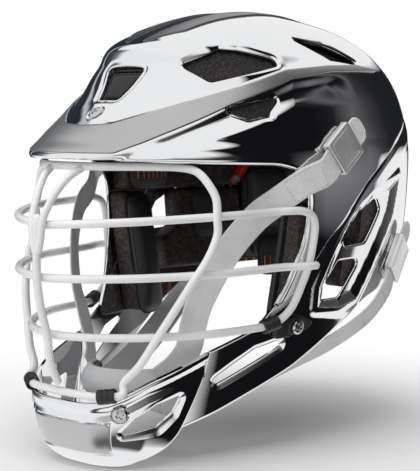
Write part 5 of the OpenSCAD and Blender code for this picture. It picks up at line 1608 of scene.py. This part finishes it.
UPPER_TURN, LOWER_TURN = side_turn(0, 11, 34), side_turn(18, -8, 55)
UPPER_AT = np.array([float(skin_x(14, 206)), 14, 206])
LOWER_AT = np.array([float(skin_x(95, 126)), 95, 126])
for name, rot, at in (("upper", UPPER_TURN, UPPER_AT), ("lower", LOWER_TURN, LOWER_AT)):
    buckle = name + "_buckle_{}"
    pair(buckle + "_frame", placed(buckle_part(), rot, at), BUCKLE, buckle, "buckles", buckle, angle=35)


def through_buckle(at, rot):
    """The strap's first points, along a buckle: its loose end, then the way out toward the chin."""
    return [list(at + rot @ np.array([x, 0, STRAP_LIFT + z]))
            for x, z in ((29, 0), (14, 0), (0, 0), (-14, 0), (-27, 0.3))]


# Each strap: its path, the way its face looks at each point, and the stretches that are stitched, by length.
STRAPS = {
    "upper": (through_buckle(UPPER_AT, UPPER_TURN) + [
        [WIDE - 1.6, -21, 185.5], [WIDE - 12.4, -35, 173.5], [WIDE - 19, -51, 162], [WIDE - 30.5, -66.5, 139],
        [62, -76, 110],
        [55, -76.5, 92], [50, -76, 76], [42.5, -80, 63.5], [35.7, -87.6, 55.5]],
        [list(UPPER_TURN[:, 2])] * 5 + [
        [0.95, -0.25, 0.12], [0.88, -0.4, 0.08], [0.88, -0.45, 0.05], [0.84, -0.52, 0], [0.86, -0.5, -0.1],
        [0.88, -0.45, -0.15], [0.88, -0.45, -0.15], [0.88, -0.45, -0.1], [0.9, -0.4, -0.1]],
        [(58, 84), (236, 262)]),
    "lower": (through_buckle(LOWER_AT, LOWER_TURN) + [
        [WIDE - 13, 62, 87], [WIDE - 22, 34, 71], [WIDE - 34, 4, 58.5], [WIDE - 44, -26, 47], [51, -58, 38.5],
        [43, -82, 38],
        [32.6, -91, 42.6]],
        [list(LOWER_TURN[:, 2])] * 5 + [
        [0.9, 0.2, -0.35], [0.85, 0.1, -0.5], [0.8, 0, -0.6], [0.75, 0, -0.66], [0.75, 0, -0.6], [0.8, -0.1, -0.5],
        [0.85, -0.3, -0.4]],
        [(60, 86), (232, 258)])}
# Half of the webbing's section: places across it from -1 to 1, and the share of its thickness there.
WEB_ACROSS = [0, 0.3, 0.6, 0.8, 0.88, 0.94, 0.985, 1]
WEB_RISE = [0.84, 0.84, 0.86, 0.9, 1.0, 0.95, 0.55, 0.0]
WEB_TAIL = 7.0


def webbing(path, facing_dirs, per=14):
    """Flat webbing: ridged selvedges, woven face in the flat map, and a heat-cut rounded tail at the buckle end."""
    p, f = curve(path, per), curve(facing_dirs, per)
    t = unit(np.gradient(p, axis=0))
    w = unit(np.cross(t, f))
    f = np.cross(w, t)
    lengths = along(p)
    cols = np.array([-x for x in WEB_ACROSS[:0:-1]] + WEB_ACROSS)
    rise = np.array(WEB_RISE[:0:-1] + WEB_RISE)
    around = np.concatenate([cols, cols[-2:0:-1]])
    thick = np.concatenate([rise, -rise[-2:0:-1]])
    narrow = np.sqrt(np.maximum(0.0, 1 - np.maximum(0, 1 - lengths / WEB_TAIL) ** 2)) * 0.86 + 0.14
    narrow = np.where(lengths < WEB_TAIL, np.minimum(1, narrow), 1.0)
    rings = p[:, None, :] + (STRAP_W / 2 * narrow[:, None] * around[None, :])[:, :, None] * w[:, None, :] \
        + (STRAP_T / 2 * thick)[None, :, None] * f[:, None, :]
    points, faces = tube(rings, [p[0], p[-1]])
    n, m = rings.shape[:2]
    spots = np.stack([np.broadcast_to(around * STRAP_W / 2, (n, m)), np.broadcast_to(lengths[:, None], (n, m))], -1)
    spots = np.vstack([spots.reshape(-1, 2), [[0, 0], [0, lengths[-1]]]]) * MM
    return (points, faces, np.array([spots[i] for q in faces for i in q])), (p, w, f, lengths)


def stitch_rows(line, spans, rows=(-7.6, 7.6), length=2.3, pitch=3.3, d=0.55):
    """Short raised stitches in rows along the webbing, and across it at the ends of each span."""
    p, w, f, lengths = line

    def one(start, finish_at, side_a, side_b):
        pts = []
        for k in np.linspace(0, 1, 5):
            at = start + (finish_at - start) * k
            base, across, up = (at_lengths(at, lengths, v) for v in (p, w, f))
            rise = STRAP_T / 2 * 0.84 + 0.22 * math.sin(math.pi * k) - 0.05
            pts.append(base + unit(across) * (side_a + (side_b - side_a) * k) + unit(up) * rise)
        return wire(curve(pts, 1), d, 6)

    def starts(lo, hi):
        at = lo
        while at + length < hi:
            yield at
            at += pitch
    parts = []
    for lo, hi in spans:
        parts += [one(at, at + length, r, r) for r in rows for at in starts(lo, hi)]
        parts += [one(at, at + 0.01, across, across + length) for at in (lo, hi) for across in starts(*rows)]
    return join(parts)


for name, (path, facing_dirs, spans) in STRAPS.items():
    strap, line = webbing(path, facing_dirs)
    total = line[3][-1]
    stitches = stitch_rows(line, [(a, min(b, total - 6)) for a, b in spans])
    for side, turned, sign in (("left", tuple, 1), ("right", flip, -1)):
        start, end = (to_frame([np.array(path[k]) * [sign, 1, 1]])[0].tolist() for k in (4, -2))
        made = [piece(f"{name}_webbing_{side}", turned(strap), WEBBING, slot="webbing", body=None),
                piece(f"{name}_stitches_{side}", turned(stitches), STITCH, slot="webbing", body=None)]
        for obj in made:
            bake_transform(obj)
            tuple(start)
            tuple(end)
        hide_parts(f"{name}_strap_{side}")


# ---------------------------------------------------------------- chin cup
CUP_MID, CUP_HALF = np.array([0, -80, 50]), np.array([36, 34, 20])
CUP_TURN, CUP_RISE = (-174.0, -6.0), (-55.0, 35.0)


def cup_place(off_back, off_face):
    def place(s, t, q):
        a = np.radians(CUP_TURN[0] + (CUP_TURN[1] - CUP_TURN[0]) * s)
        e = np.radians(CUP_RISE[0] + (CUP_RISE[1] - CUP_RISE[0]) * t)
        half = CUP_HALF + (off_back + (off_face - off_back) * q)[:, None]
        return CUP_MID + half * np.stack([np.cos(a) * np.cos(e), np.sin(a) * np.cos(e), np.sin(e)], -1)
    return place


piece("chin_cup_shell", slab(cup_place(-2.5, 0.0), 105, 42, 60, 30, 1.2, 9.0), CUP, "chin_cup", "cup", "chin_cup")
lining = slab(cup_place(-2.8, -7.4), 95, 38, 50, 24, 2.2, 8.0, PAD_ROWS)
piece("chin_cup_lining", lining, CUP_LINING, "chin_cup_pad", "cup_lining", "chin_cup")


# ---------------------------------------------------------------- camera and studio
SENSOR = 36.0
FOCAL_PX, PHOTO_PX = 1400, 471
CAMERA_TURN, CAMERA_PITCH, CAMERA_AT = math.radians(43.7), math.radians(5.4), (0.6907, -0.7284, 0.2370)


def add_camera():
    data = bpy.data.cameras.new("camera")
    data.sensor_width = SENSOR
    data.lens = FOCAL_PX * SENSOR / PHOTO_PX
    data.clip_start, data.clip_end = 0.05, 50.0
    obj = link(bpy.data.objects.new("camera", data))
    back = Vector((math.sin(CAMERA_TURN) * math.cos(CAMERA_PITCH), -math.cos(CAMERA_TURN) * math.cos(CAMERA_PITCH),
                   math.sin(CAMERA_PITCH)))
    right = Vector((0, 0, 1)).cross(back).normalized()
    up = back.cross(right)
    obj.matrix_world = Matrix([(right[k], up[k], back[k], CAMERA_AT[k]) for k in range(3)] + [(0, 0, 0, 1)])
    bpy.context.scene.camera = obj


def add_world():
    """White studio with black and grey cards round the part, for the mirror finish. The camera sees plain white."""
    world = bpy.data.worlds.new("studio")
    bpy.context.scene.world = world
    world.use_nodes = True
    tree = world.node_tree
    tree.nodes.clear()
    direction = tree.nodes.new("ShaderNodeTexCoord").outputs["Generated"]
    x, y, z = (Value(s) for s in node(tree, "ShaderNodeSeparateXYZ", Vector=direction).outputs)
    turn = x.math("ARCTAN2", x, y * -1.0) / (2 * math.pi) + 0.5

    def around(stops):
        """Colours round the horizon, by degrees from the front toward the wearer's left. One number is a grey."""
        return ramp(tree, turn, [((d + 180.0) / 360.0, v if isinstance(v, tuple) else (v,) * 3) for d, v in stops])

    def between(lo, soft_lo, hi, soft_hi):
        """Share that is one between two heights of the sky."""
        return ((z - lo) * soft_lo).clamp() * ((hi - z) * soft_hi).clamp()

    def laid_over(under, colour, sector, share):
        return mixed(tree, around(sector) * share, under, colour)
    cards = around([
        (-180, (0.014, 0.015, 0.017)), (-158, (0.014, 0.015, 0.018)), (-135, (0.035, 0.042, 0.055)),
        (-107.5, (0.02, 0.024, 0.03)),
        (-105.5, (0.5, 0.52, 0.55)), (-104, (0.5, 0.52, 0.55)), (-102, (0.02, 0.023, 0.03)),
        (-84, (0.07, 0.076, 0.088)),
        (-72, (0.2, 0.21, 0.23)), (-60, (0.88, 0.88, 0.89)), (89, 0.9), (97, (0.007, 0.007, 0.008)),
        (132, (0.006, 0.006, 0.007)),
        (142, (0.014, 0.014, 0.015)), (151, (0.11, 0.11, 0.115)), (160, (0.045, 0.045, 0.047)),
        (170, (0.018, 0.018, 0.02)),
        (180, (0.014, 0.015, 0.017))])
    top = around([(-180, 0.46), (-166, 0.3), (-157, 0.2), (-146, 0.08), (-138, 0.3), (-130, 0.5), (-120, 0.74),
                  (-106, 0.68),
                  (-99, 0.55), (-91, 0.46), (-68, 0.6), (89, 0.8), (137, 0.79), (146, 0.735), (156, 0.68), (165, 0.62),
                  (180, 0.46)])
    depth = around([(-180, 0.0), (-160, 0.05), (-140, 0.3), (-66, 0.3), (89, 0.75), (140, 0.7), (150, 0.3), (158, 0.04),
                    (180, 0.0)])
    share = (1.0 - ((z - top) * 18.0).clamp()) * ((z + depth) * 12.0).clamp()
    sky = mixed(tree, share, (0.92, 0.92, 0.92, 1), cards)
    fall = around([(0, 0.7), (32, 0.38), (60, 0.2), (78, 0.08), (88, 0.02)])
    sky = laid_over(sky, fall, ((0, 0), (25, 0.9), (97, 1), (99, 0)), between(-0.2, 8.0, 0.5, 5.0))
    sky = laid_over(sky, (0.03, 0.031, 0.034, 1), ((-14, 0), (4, 0.95), (100, 0.95), (104, 0)),
                    between(-0.86, 12.0, -0.58, 12.0))
    sky = laid_over(sky, (0.24, 0.24, 0.25, 1), ((118, 0), (132, 1), (143, 0.75), (152, 0.3), (161, 0)),
                    between(-0.29, 5.0, 0.3, 2.6))
    seen = tree.nodes.new("ShaderNodeLightPath").outputs["Is Camera Ray"]
    light = node(tree, "ShaderNodeBackground", Color=mixed(tree, seen, sky, (1, 1, 1, 1)), Strength=1.0)
    node(tree, "ShaderNodeOutputWorld", Surface=light.outputs[0])


def add_floor():
    """Pale disc that fades out from under the part, so that its shadow stays and no edge shows."""
    mesh = bpy.data.meshes.new("floor")
    n, rings, fade_from, fade_rate = 96, (0.4, 1.0, 2.2), 0.16, 4.6
    points = [(0, 0, 0)] + [(r * math.cos(2 * math.pi * i / n), r * math.sin(2 * math.pi * i / n), 0)
                            for r in rings for i in range(n)]
    faces = [(0, 1 + i, 1 + (i + 1) % n) for i in range(n)]
    faces += [(b + i, b + n + i, b + n + (i + 1) % n, b + (i + 1) % n) for b in (1, 1 + n) for i in range(n)]
    mesh.from_pydata(points, [], faces)
    mesh.update()
    obj = link(bpy.data.objects.new("floor", mesh))
    mat, tree, shader, coord = new_material("pale floor")
    away = node(tree, "ShaderNodeVectorMath", {"operation": "LENGTH"}, i0=coord["Object"])
    tone, _ = noise(tree, coord["Object"], 3.0, 2.0)
    set_shader(tree, shader, Base_Color=ramp(tree, tone, [(0.3, (0.9, 0.9, 0.9)), (0.7, (0.93, 0.93, 0.93))]),
               Roughness=0.9, Specular_IOR_Level=0.0)
    far = ((Value(away.outputs["Value"]) - fade_from) * fade_rate).clamp()
    blend = node(tree, "ShaderNodeMixShader", i0=far, i1=shader.outputs[0],
                 i2=tree.nodes.new("ShaderNodeBsdfTransparent").outputs[0])
    tree.links.new(blend.outputs[0], tree.nodes["Material Output"].inputs["Surface"])
    mesh.materials.append(mat)
    obj.visible_glossy = False


def add_lamp(name, place, aim, size, power):
    data = bpy.data.lights.new(name, "AREA")
    data.shape, data.size, data.energy = "DISK", size, power
    obj = link(bpy.data.objects.new(name, data))
    obj.rotation_euler = (Vector(place) - Vector(aim)).normalized().to_track_quat("Z", "Y").to_euler()
    obj.location = place
    obj.visible_glossy = False


add_camera()
add_world()
add_floor()
add_lamp("overhead", (0.2, -0.5, 1.7), (0, 0, 0.1), 1.2, 10.0)
bpy.context.scene.view_settings.view_transform = "Standard"
